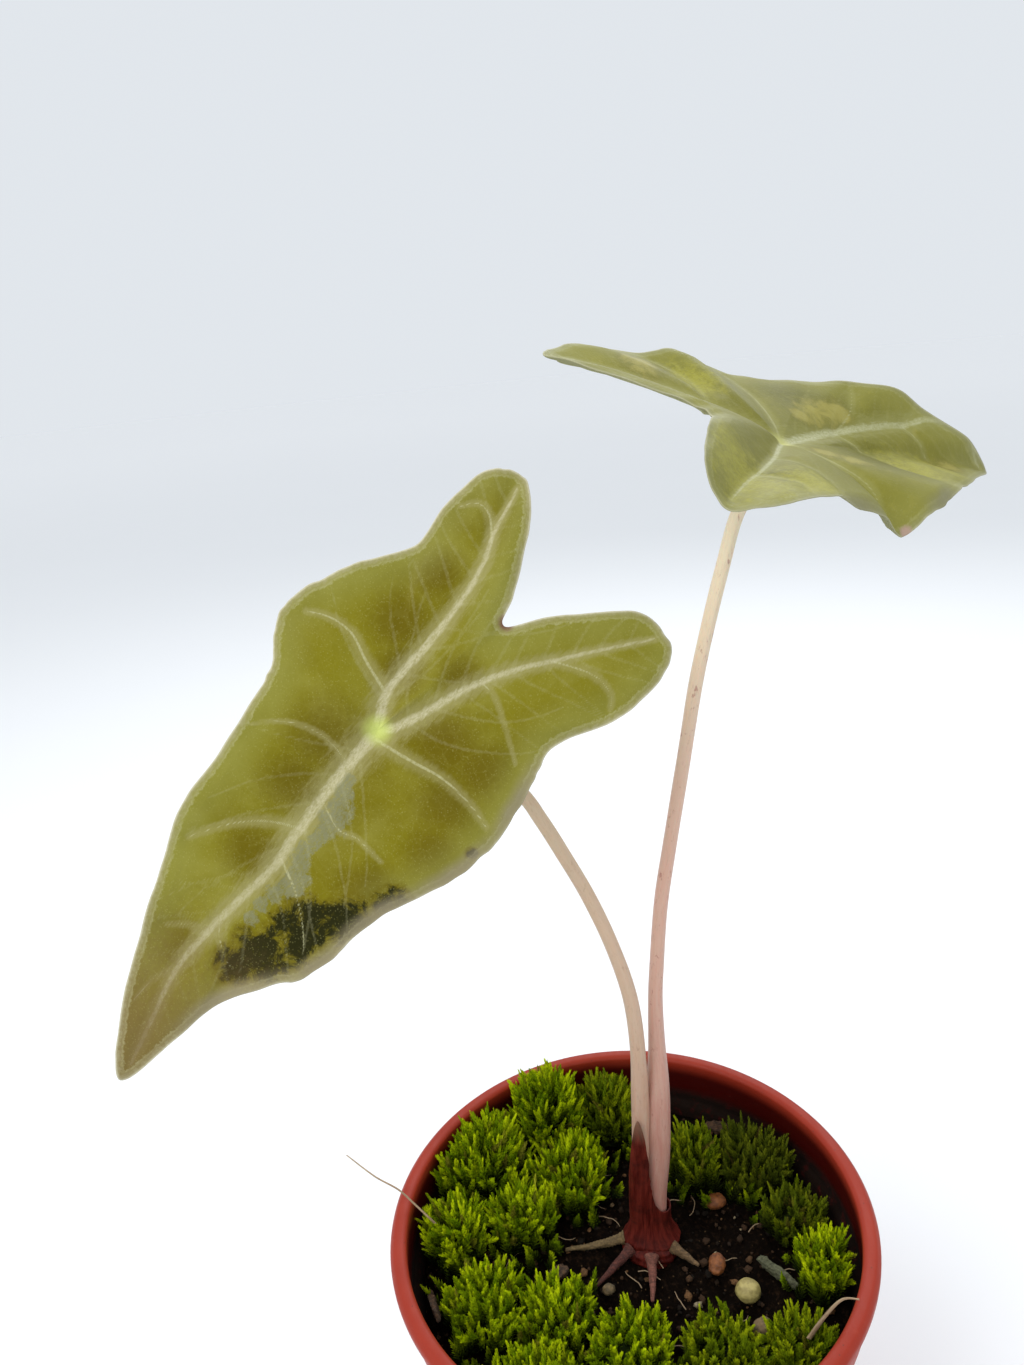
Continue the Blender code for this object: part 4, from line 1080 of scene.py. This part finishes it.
def sheath_husk(left, right, look):
    """Papery leaf base round both stalks; its edge falls from a long point to the right."""
    places = []
    dryness = []
    strand = []
    for level in range(SHEATH_LEVELS + 1):
        share = level / SHEATH_LEVELS
        for i in range(SHEATH_STEPS):
            bearing = math.tau * i / SHEATH_STEPS
            turn = math.cos(bearing - math.radians(SHEATH_TIP_ANGLE))
            lean = ((1 + turn) / 2) ** SHEATH_TAPER
            near = 0.5 * lean + 0.5 * lean ** 4
            torn = 0.35 * noise.noise(Vector((math.cos(bearing), math.sin(bearing), 0.1)) * 5)
            high = SHEATH_LOW + (SHEATH_HEIGHT - SHEATH_LOW) * near + torn
            z = STALK_BASE - 0.5 + (high + 0.5) * share
            pleat = 0.05 * math.sin(bearing * 19 + z * 0.4) * (1 - share * 0.6)
            flare = 1.1 * max(1 - (z - STALK_BASE) / 3.5, 0.0) ** 2
            x, y = wrapped(row_at(left, z), row_at(right, z), bearing,
                           SHEATH_EASE + pleat + flare)
            places.append((x, y, z))
            dryness.append(share * (0.25 + 0.75 * near))
            strand.append((math.cos(bearing) * 2.5, z, math.sin(bearing) * 2.5))
    husk = piece("sheath_husk", places, ring_quads(SHEATH_LEVELS, SHEATH_STEPS), look,
                 {"dry": dryness, "strand": strand})
    wall = husk.modifiers.new("Wall", "SOLIDIFY")
    wall.thickness = SHEATH_WALL * MM
    wall.offset = 1.0
    return stands(husk, "husk", "sheath")


def corm_body(look):
    """Squat knobbly corm with rings where old leaves fell."""
    profile = [(0.0, -CORM_DEPTH), (CORM_RADIUS - 1.8, -CORM_DEPTH * 0.9),
               (CORM_RADIUS - 0.4, -CORM_DEPTH * 0.5), (CORM_RADIUS, 0.2),
               (CORM_RADIUS - 0.2, CORM_TOP - 0.7), (CORM_RADIUS - 0.8, CORM_TOP),
               (0.0, CORM_TOP)]
    fine = rounded(profile, 0.8, 6)
    dense = [fine[0]]
    for a, b in zip(fine, fine[1:]):
        cuts = max(1, round(math.dist(a, b) / 0.3))
        dense += [(a[0] + (b[0] - a[0]) * k / cuts, a[1] + (b[1] - a[1]) * k / cuts)
                  for k in range(1, cuts + 1)]
    places, faces = lathe_form(dense, CORM_STEPS)
    strand = []
    for place in places:
        x, y, z = place
        away = math.hypot(x, y)
        lump = 1 + 0.10 * noise.noise(Vector((x, y, z)) * 0.45)
        ring = 0.10 * math.sin(z * 5.5 + 0.8 * noise.noise(Vector((x, y, 0)) * 0.6))
        grow = lump + ring / max(away, 1.0)
        strand.append((math.atan2(y, x) * 3, z, away))
        place[:] = (CROWN.x + x * grow, CROWN.y + y * grow,
                    SOIL_Z + z + 0.12 * noise.noise(Vector((x, y, z)) * 1.6))
    corm = piece("corm_body", places, faces, look,
                 {"strand": strand, "dry": np.zeros(len(places))})
    return stands(corm, "husk", "corm")


def root_piece(node, look, slot):
    """A wrinkled root along its node, tapering to a hair."""
    low, high = box_of(node)
    points = np.array([v.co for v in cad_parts[node].data.vertices]) / MM
    start = np.array((CROWN.x, CROWN.y))
    reach = np.linalg.norm(points[:, :2] - start, axis=1)
    order = np.linspace(reach.min(), reach.max(), 10)
    rows = []
    for a, b in zip(order, order[1:]):
        inside = points[(reach >= a - 0.05) & (reach <= b + 0.05)]
        if len(inside) > 2:
            middle = (inside.min(0) + inside.max(0)) / 2
            rows.append((*middle, 0.5 * float(np.ptp(inside[:, 2]))))
    rows = np.array(rows)
    rows[:, 3] = np.linspace(0.72, 0.24, len(rows)) * min(1.0, (high.z - low.z) / 1.6 + 0.25)
    inward = rows[0, :2] - start
    inward /= np.linalg.norm(inward)
    rows = np.vstack([(*(rows[0, :2] - inward * 1.0), rows[0, 2] + 0.25, rows[0, 3] * 1.5),
                      rows])
    run = evenly(smooth_run(rows, 8), 60)

    def wrinkled(k, angles):
        return 1 + 0.07 * math.sin(k * 1.9) + 0.06 * np.sin(3 * angles + k * 0.3)

    places, faces, fields = tube_form(run, 16, wrinkled)
    fields["dry"] = fields["along"] * 0
    return stands(piece(node + "_skin", places, faces, look, fields), slot, node)


# ---------------------------------------------------------------- blades

def to_stretch(places, a, b):
    """Distance from each place to the stretch from a to b, and the share along it."""
    run = b - a
    share = np.clip(((places - a) @ run) / (run @ run), 0, 1)
    return np.linalg.norm(places - a - share[:, None] * run, axis=1), share


def reach_to(places, veins, length):
    """Distance from each place to the nearest vein, in half widths and in millimetres."""
    widths = np.full(len(places), FAR_AWAY)
    plain = np.full(len(places), FAR_AWAY)
    for points, start, end in veins:
        route = smooth_run(np.array(points, float) * length / 100, 6)
        wide = np.linspace(start, end, len(route))
        for a, b, wa, wb in zip(route, route[1:], wide, wide[1:]):
            away, share = to_stretch(places, a, b)
            widths = np.minimum(widths, away / (wa + (wb - wa) * share))
            plain = np.minimum(plain, away)
    return widths, plain


def fine_veins(mains, spacing):
    """Thin veins that leave the main ones on both sides and sweep towards the margin."""
    made = []
    for points, _, _ in mains:
        route = smooth_run(points, 8)
        runs = run_lengths(route)
        for at in np.arange(spacing, runs[-1] - 3, spacing):
            k = int(np.searchsorted(runs, at))
            way = route[k] - route[k - 1]
            heading = math.atan2(way[1], way[0])
            for side in (-1, 1):
                turn = heading + side * random.uniform(0.75, 1.15)
                x, y = route[k]
                stations = [(x, y)]
                for _ in range(7):
                    turn -= side * random.uniform(-0.05, 0.17)
                    x += FINE_VEIN_STEP * math.cos(turn)
                    y += FINE_VEIN_STEP * math.sin(turn)
                    stations.append((x, y))
                made.append((tuple(stations), 0.24, 0.14))
    return made


def blots(places, spots):
    """Soft round areas as one value: each spot is x, y and radius in hundredths."""
    value = np.zeros(len(places))
    for x, y, radius in spots:
        away = np.linalg.norm(places - (x, y), axis=1) / radius
        value = np.maximum(value, np.clip(1.25 - away, 0, 1))
    return value


def blade(name, node, slot, look, margin, mains, sides, length, junction, along, facing,
          patches, smoke, shades, rolls, nick):
    """An arrow-shaped blade with sunken veins above, ribs below and a rolled margin."""
    edge = smooth_run(margin, SPAN_STEPS, closed=True) * length / 100
    count = len(edge)
    turns = np.arange(count) / count * math.tau
    wave = sum(size * np.sin(turns * k + k * 1.7) for k, size in (
        (23, 0.05), (37, 0.05), (58, 0.04), (91, 0.02)))
    lift_wave = sum(size * np.sin(turns * k + k) for k, size in ((17, 0.10), (29, 0.08)))
    spread = np.linalg.norm(edge[:, :2], axis=1)
    edge[:, :2] *= (1 + wave / spread)[:, None]
    bearing = np.minimum(np.abs(np.degrees(np.arctan2(edge[:, 1], edge[:, 0]))), 75.0)
    panel = np.sin(math.pi * bearing / 150) ** 2
    rho = (np.arange(1, BLADE_RINGS + 1) / BLADE_RINGS)[:, None]
    flat = (edge[None, :, :2] * rho[:, :, None]).reshape(-1, 2)
    lift = (edge[:, 2][None] * rho ** 2 + lift_wave[None] * rho ** 6
            + BLADE_PUFF * length * panel[None] * 4 * rho * (1 - rho)).ravel()
    flat = np.vstack([flat, (0.0, 0.0)])
    lift = np.r_[lift, 0.0]

    main, main_mm = reach_to(flat, mains, length)
    side, side_mm = reach_to(flat, sides, length)
    thin, _ = reach_to(flat, fine_veins(mains, FINE_VEIN_SPACING), length)
    margin_mm = np.full(len(flat), FAR_AWAY)
    for a, b in zip(edge[:, :2], np.roll(edge[:, :2], -1, axis=0)):
        margin_mm = np.minimum(margin_mm, to_stretch(flat, a, b)[0])
    hundredths = flat * 100 / length
    rolled = 0.12 + blots(hundredths, rolls) * 0.5
    quilt = 0.30 * (1 - np.exp(-(main_mm / 1.3) ** 2))
    quilt += 0.20 * (1 - np.exp(-(side_mm / 1.0) ** 2))
    quilt += 0.50 * (1 - np.exp(-(np.minimum(main_mm, side_mm) / 3.8) ** 2))
    quilt -= 0.6
    upper = lift + quilt * np.clip(margin_mm / 2.0, 0, 1)
    upper -= rolled * np.exp(-(margin_mm / 0.9) ** 2)
    thick = 0.10 + 0.34 * (1 - np.exp(-margin_mm / 0.5))
    heart_mm = np.linalg.norm(flat, axis=1)
    rib = 0.55 * np.exp(-(main / 1.5) ** 2) * np.clip(1.2 - heart_mm / length, 0.1, 1)
    rib += 0.14 * np.exp(-(side / 1.8) ** 2)
    lower = upper - thick - rib * np.clip(margin_mm / 1.5, 0, 1)

    up = facing.normalized()
    tip = (along - up * along.dot(up)).normalized()
    turn = np.array(Matrix((tip, up.cross(tip), up)))
    top, bottom = (np.column_stack([flat, side_lift]) @ turn + np.array(junction)
                   for side_lift in (upper, lower))
    total = len(flat)
    faces = []
    for a, b, c, d in ring_quads(BLADE_RINGS - 1, count):
        faces += [(a, d, c, b), (total + b, total + c, total + d, total + a)]
    last = (BLADE_RINGS - 1) * count
    for i in range(count):
        j = (i + 1) % count
        faces.append((total - 1, i, j))
        faces.append((2 * total - 1, total + j, total + i))
        faces.append((last + i, total + last + i, total + last + j, last + j))
    fields = {
        "leaf_place": np.column_stack([flat, np.zeros(total)]), "main_vein": main,
        "side_vein": side, "fine_vein": thin, "margin": margin_mm,
        "patch": blots(hundredths, patches), "smoke": blots(hundredths, smoke),
        "shade": blots(hundredths, shades), "heart": heart_mm,
        "nick": np.linalg.norm(hundredths - nick, axis=1), "rolled": blots(hundredths, rolls),
    }
    fields = {key: np.concatenate([value, value]) for key, value in fields.items()}
    fields["leaf_place"][total:, 2] = UNDERSIDE_SHIFT
    fields["under"] = np.r_[np.zeros(total), np.ones(total)]
    return stands(piece(name, np.vstack([top, bottom]), faces, look, fields), slot, node)


# ---------------------------------------------------------------- moss

def sprig_form():
    """One upright moss shoot 1 mm high: a stem in whorls of small pointed leaves."""
    places = []
    faces = []
    rise = []
    bend = random.uniform(0.05, 0.35)
    for k in range(SHOOT_WHORLS):
        z = (k + 0.5) / SHOOT_WHORLS
        middle = np.array((bend * z * z, 0.0, z))
        length = 0.34 * (1 - 0.74 * z ** 1.8) * random.uniform(0.8, 1.2)
        for leaf in range(4):
            angle = leaf * math.tau / 4 + k * 0.9 + random.uniform(-0.2, 0.2)
            tilt = 0.55 + 0.75 * z
            out = np.array((math.cos(angle) * math.cos(tilt), math.sin(angle) * math.cos(tilt),
                            math.sin(tilt)))
            across = np.array((-math.sin(angle), math.cos(angle), 0.0)) * length * 0.24
            belly = middle + out * length * 0.45
            tip = middle + out * length + np.array((0, 0, 0.05 * length))
            first = len(places)
            places += [middle, belly + across, tip, belly - across]
            rise += [z * 0.9, z, min(z + 0.15, 1.0), z]
            faces.append((first, first + 1, first + 2))
            faces.append((first, first + 2, first + 3))
    stem = len(places)
    for k in range(5):
        z = k / 4
        for corner in range(3):
            angle = corner * math.tau / 3
            wide = SHOOT_STEM * (1 - 0.7 * z)
            places.append(np.array((bend * z * z + wide * math.cos(angle),
                                    wide * math.sin(angle), z * 0.96)))
            rise.append(z * 0.8)
    faces += [tuple(stem + i for i in quad) for quad in ring_quads(4, 3)]
    return np.array(places), faces, np.array(rise)


def surface_spots(mesh, density):
    """Random spots on the upper part of a mesh, with normals, in millimetres."""
    mesh.calc_loop_triangles()
    corners = np.array([v.co for v in mesh.vertices]) / MM
    triangles = np.array([t.vertices for t in mesh.loop_triangles])
    a, b, c = (corners[triangles[:, k]] for k in range(3))
    normals = np.cross(b - a, c - a)
    areas = np.linalg.norm(normals, axis=1) / 2
    normals /= np.maximum(areas, 1e-9)[:, None] * 2
    outward = ((a + b + c) / 3 - corners.mean(0)) * normals
    if outward.sum() < 0:
        normals = -normals
    weight = areas * np.clip(normals[:, 2] + 0.25, 0, 1)
    count = int(weight.sum() / 100 * density)
    chosen = rng.choice(len(areas), count, p=weight / weight.sum())
    u = rng.random(count)
    v = rng.random(count)
    over = u + v > 1
    u[over] = 1 - u[over]
    v[over] = 1 - v[over]
    spots = a[chosen] + (b - a)[chosen] * u[:, None] + (c - a)[chosen] * v[:, None]
    return spots, normals[chosen]


def planted(shoots, kinds):
    """Moss shoots set at foot, direction, height and width."""
    forms = []
    for foot, up, tall, wide in shoots:
        form, cells, rise = kinds[random.randrange(len(kinds))]
        turn = up.to_track_quat("Z", "Y").to_matrix() @ Matrix.Rotation(
            random.uniform(0, math.tau), 3, "Z")
        places = (form * (wide, wide, tall)) @ np.array(turn).T + np.array(foot)
        forms.append((places, cells, {"rise": rise,
                                      "tone": np.full(len(form), random.random())}))
    return forms


def leaning(reach):
    """A random shift sideways."""
    return Vector((random.uniform(-reach, reach), random.uniform(-reach, reach), 0))


def moss_piece(name, forms, look, dull):
    """Moss forms as one piece, with its cushion's share of painted shade."""
    places, faces, fields = gathered(forms)
    fields["dull"] = np.full(len(places), dull)
    return piece(name, places, faces, look, fields, smooth=False)


def moss_cushion(node, look, kinds, dull):
    """A cushion of leaning shoots on a dark bed, in the place of its node."""
    low, high = box_of(node)
    height = high.z - low.z
    base = (low + high) / 2
    shoots = []
    for spot, normal in zip(*surface_spots(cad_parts[node].data, MOSS_SPRIGS_PER_CM2)):
        tall = min(height * random.uniform(0.5, 1.0), SHOOT_LENGTH) + random.uniform(0.4, 1.8)
        up = (Vector(normal) * 0.55 + Vector((0, 0, 1.0)) + leaning(0.45)).normalized()
        wide = random.uniform(0.7, 1.0) * (2.6 + tall * 0.35)
        foot = Vector(spot) - up * tall * random.uniform(0.62, 0.92)
        foot.z = max(foot.z, low.z)
        shoots.append((foot, up, tall, wide))
    core = node_form(node, 1)
    bed = []
    for vertex in core.verts:
        spot = vertex.co
        shrink = 0.72 + 0.14 * noise.noise(spot * 0.9)
        bed.append((base.x + (spot.x - base.x) * shrink, base.y + (spot.y - base.y) * shrink,
                    low.z + (spot.z - low.z) * shrink * 0.9))
    core.verts.index_update()
    cells = [tuple(v.index for v in face.verts) for face in core.faces]
    core.free()
    dark_bed = (bed, cells, {"rise": np.full(len(bed), 0.05), "tone": np.full(len(bed), 0.3)})
    cushion = moss_piece(node + "_shoots", planted(shoots, kinds) + [dark_bed], look, dull)
    return stands(cushion, "moss", node)


def moss_strays(look, kinds):
    """Single short shoots on the soil round the cushions."""
    boxes = [box_of(node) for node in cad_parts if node.startswith("moss_")]

    def near_moss(x, y):
        if from_crown(x, y) < CORM_RADIUS + STRAY_CROWN_EASE:
            return False
        away = min(math.hypot(x - (low.x + high.x) / 2, y - (low.y + high.y) / 2)
                   - (high.x - low.x) / 2 for low, high in boxes)
        return away < STRAY_REACH and math.hypot(x, y) < SOIL_RADIUS - STRAY_REACH

    shoots = []
    for x, y in scattered(STRAY_SHOOTS, near_moss):
        tall = random.uniform(*STRAY_LENGTHS)
        up = (leaning(0.5) + Vector((0, 0, 1.0))).normalized()
        foot = Vector((x, y, SOIL_Z + soil_bump(x, y) - 0.3))
        shoots.append((foot, up, tall, 2.2 + tall * 0.3))
    # the strays take a little painted shade
    return stands(moss_piece("moss_strays", planted(shoots, kinds), look, 0.25), "moss")


# ---------------------------------------------------------------- strands

def strand(name, node, look, slot, stations, radius, flat=1.0):
    """A dry wisp over the rim."""
    run = evenly(smooth_run([(*p, radius) for p in stations], 10), 70)
    run[:, 3] *= np.linspace(1.0, 0.55, len(run))

    def blade_like(_, angles):
        return 1 / np.sqrt(np.cos(angles) ** 2 + (np.sin(angles) * flat) ** 2)

    places, faces, fields = tube_form(run, 12, blade_like)
    return stands(piece(name, places, faces, look, fields), slot, node)


# ---------------------------------------------------------------- stage

def aim(item, place, target):
    """Put a light or camera at a place, looking at a target, both in millimetres."""
    item.location = Vector(place) * MM
    item.rotation_euler = (Vector(target) - Vector(place)).to_track_quat("-Z", "Y").to_euler()


def add_light(name, place, size, power, colour):
    """A soft square light aimed at the plant."""
    data = bpy.data.lights.new(name, "AREA")
    data.shape = "SQUARE"
    data.size = size * MM
    data.energy = power
    data.color = colour
    light = bpy.data.objects.new(name, data)
    bpy.context.scene.collection.objects.link(light)
    aim(light, place, (0.0, 0.0, 100.0))


def set_stage():
    """Floor, world, lights and camera."""
    bpy.context.scene.view_settings.view_transform = "Standard"
    angles = np.arange(FLOOR_SIDES) * math.tau / FLOOR_SIDES
    disc = [(FLOOR_RADIUS * math.cos(a), FLOOR_RADIUS * math.sin(a), 0.0) for a in angles]
    floor = piece("studio_floor", disc, [tuple(range(FLOOR_SIDES))], floor_look())
    world = bpy.data.worlds.new("studio_air")
    bpy.context.scene.world = world
    world.use_nodes = True
    air = world.node_tree.nodes["Background"]
    air.inputs["Color"].default_value = AIR_COLOUR
    air.inputs["Strength"].default_value = AIR_STRENGTH
    add_light("key_light", (-300.0, -220.0, 560.0), 320.0, 1.5, (1.0, 0.985, 0.96))
    add_light("front_fill", (160.0, -520.0, 260.0), 420.0, 0.35, (1.0, 0.99, 0.98))
    add_light("back_light", (120.0, 380.0, 460.0), 420.0, 1.0, (0.97, 0.985, 1.0))

    pitch = math.radians(CAMERA_PITCH)
    roll = math.radians(CAMERA_ROLL)
    level = Vector((1.0, 0.0, 0.0))
    rise = Vector((0.0, math.sin(pitch), math.cos(pitch)))
    ahead = Vector((0.0, math.cos(pitch), -math.sin(pitch)))
    right = level * math.cos(roll) - rise * math.sin(roll)
    up = level * math.sin(roll) + rise * math.cos(roll)
    data = bpy.data.cameras.new("camera")
    data.lens = CAMERA_LENS
    data.sensor_width = 36.0
    data.clip_start = 0.005
    data.clip_end = 20.0
    camera = bpy.data.objects.new("camera", data)
    bpy.context.scene.collection.objects.link(camera)
    turn = Matrix((right, up, -ahead)).transposed().to_4x4()
    camera.matrix_world = Matrix.Translation(CAMERA_PLACE * MM) @ turn
    bpy.context.scene.camera = camera


# ---------------------------------------------------------------- the whole plant

# Share of painted shade on the moss cushions that lie in shadow
SHADED_MOSS = {"moss_back_right": 1.0, "moss_right": 0.85, "moss_right_of_stalks": 0.6,
             "moss_right_low": 0.4, "moss_front_right": 0.4, "moss_behind_stalks": 0.5}


def main():
    """Dress every node."""
    set_stage()
    pot_shell(terracotta_plastic())
    soil_body(wet_mix())
    crumb_bed(crumb_look())
    straw = straw_look()
    fibre_bed(straw)
    husk = husk_look()
    corm_body(husk)
    left, right = column_rows()
    beige = stalk_look("stalk_beige", (0.46, 0.23, 0.165), (0.58, 0.40, 0.27),
                       (0.60, 0.47, 0.30), (0.30, 0.15, 0.10), 0.35)
    pink = stalk_look("stalk_pink", (0.45, 0.19, 0.15), (0.62, 0.36, 0.27),
                      (0.80, 0.69, 0.48), (0.34, 0.13, 0.10), 0.70)
    stalk("left_stalk_skin", stalk_rows(left, LEFT_RISE, LEFT_JUNCTION, LEFT_FACING,
                                        LEFT_STALK_RADIUS), -1, beige, "stalk_beige",
          "left_stalk")
    stalk("right_stalk_skin", stalk_rows(right, RIGHT_RISE, RIGHT_JUNCTION, RIGHT_FACING,
                                         RIGHT_STALK_RADIUS * 0.95), 1, pink, "stalk_pink",
          "right_stalk")
    sheath_husk(left, right, husk)
    blade("left_blade_skin", "left_blade", "leaf_olive", left_blade_look(), LEFT_MARGIN,
          LEFT_MAIN_VEINS, LEFT_SIDE_VEINS, LEFT_LENGTH, LEFT_JUNCTION, LEFT_ALONG,
          LEFT_FACING,
          patches=((47, 13, 9), (56, 9, 9), (38, 20, 8), (30, 26, 6), (9, 33, 2.0), (62, 5, 6),
                   (42, 12, 5)),
          smoke=((13, 1.5, 2.5), (16, 2.4, 3.4), (19, 3.4, 4.2), (22, 4, 4.6), (25, 3.8, 4),
                 (28, 3, 3), (31, 2.6, 2.8), (34, 3.4, 3.4), (37, 4.6, 4.4), (40, 5, 4.2),
                 (43, 3, 3), (47, 2, 2.6), (51, 2, 2.6)),
          shades=((8, -8, 11), (20, -8, 9), (-6, 14, 10), (-14, -4, 7), (-22, -10, 8),
                  (-6, 24, 8), (4, 22, 9), (38, -7, 8), (14, 26, 8), (-20, 8, 6),
                  (-36, -10, 7), (66, -9, 7), (30, 20, 8)),
          rolls=((50, 21, 12), (33, 25, 12), (15, 34, 12), (-5, 35, 10), (70, 9, 14)),
          nick=(-36.0, 9.0))
    blade("right_blade_skin", "right_blade", "leaf_grey_green", right_blade_look(),
          RIGHT_MARGIN, RIGHT_MAIN_VEINS, RIGHT_SIDE_VEINS, RIGHT_LENGTH, RIGHT_JUNCTION,
          RIGHT_ALONG, RIGHT_FACING,
          patches=((17, 12, 5), (22, 13, 7), (28, 14, 7), (34, 14, 6), (-30, 30, 8), (9, -7, 5),
                   (15, -12, 5), (66, -6, 7), (74, -3, 5)),
          smoke=((45, -10, 13), (62, -8, 10), (-14, 25, 10), (-42, -28, 16), (-26, -33, 12)),
          shades=((30, -8, 16), (20, 22, 12), (-30, -30, 8)),
          rolls=((-10, -40, 10), (30, -32, 10)), nick=(13.0, -37.5))
    roots = {"root_left": (0.20, 0.13, 0.05), "root_right": (0.19, 0.11, 0.045),
             "root_front_left": (0.12, 0.03, 0.018), "root_front": (0.26, 0.09, 0.06),
             "root_back": (0.15, 0.08, 0.04)}
    for node, tint in roots.items():
        dark = tuple(value * 0.45 for value in tint)
        look = wood_look(node + "_skin", dark, tint, tuple(value * 1.5 for value in tint))
        root_piece(node, look, "root")

    moss = moss_look()
    kinds = [sprig_form() for _ in range(SHOOT_KINDS)]
    for node in sorted(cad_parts):
        if node.startswith("moss_"):
            moss_cushion(node, moss, kinds, SHADED_MOSS.get(node, 0.0))
    moss_strays(moss, kinds)

    pale = grain_look("pale_grain", (0.30, 0.24, 0.075), (0.46, 0.38, 0.13),
                      (0.20, 0.14, 0.05), 0.5)
    rust = grain_look("rust_grain", (0.12, 0.035, 0.008), (0.24, 0.075, 0.014),
                      (0.05, 0.02, 0.008), 0.6)
    tan = grain_look("tan_grain", (0.10, 0.07, 0.03), (0.20, 0.13, 0.055),
                     (0.05, 0.03, 0.015), 0.7)
    for node, slot, look, wear in (
            ("pale_grain", "pale_grain", pale, 0.05), ("rust_grain_back", "rust_grain", rust, 0.14),
            ("rust_grain_front", "rust_grain", rust, 0.14), ("tan_grain", "tan_grain", tan, 0.14),
            ("small_grain", "tan_grain", tan, 0.14)):
        stands(roughened(node + "_body", node, 2, wear, 0.8, look), slot, node)
    bark = wood_look("bark", (0.035, 0.018, 0.009), (0.13, 0.065, 0.028), (0.20, 0.12, 0.06))
    lichen = wood_look("lichen_twig", (0.05, 0.05, 0.022), (0.13, 0.135, 0.07),
                       (0.24, 0.25, 0.16))
    for node, look in (("twig", lichen), ("bark_chip_left", bark), ("bark_chip_back", bark),
                       ("bark_strip", bark)):
        stands(roughened(node + "_body", node, 3, 0.22, 0.7, look, keep_round=False), "bark",
               node)
    left_wisp = [(-28.6, 3.0, -5.0), (-31.6, 4.0, -1.6), (-33.8, 5.0, 0.4),
                 (-37.6, 7.6, 0.9), (-42.6, 13.2, 0.2)]
    right_wisp = [(20.4, -20.2, -6.2), (22.6, -20.1, -2.6), (24.7, -20.2, 0.0),
                  (26.6, -20.9, 0.6)]
    for name, node, route, radius, flat in (
            ("dry_wisp_left", "dry_strand_left", left_wisp, 0.16, 1.0),
            ("dry_wisp_right", "dry_strand_right", right_wisp, 0.40, 3.2)):
        drop = box_of(node)[1].z - (POT_HEIGHT + max(z for _, _, z in route) + STRAND_RADIUS)
        strand(name, node, straw, "straw",
               [(x, y, POT_HEIGHT + z + drop) for x, y, z in route], radius, flat)


main()
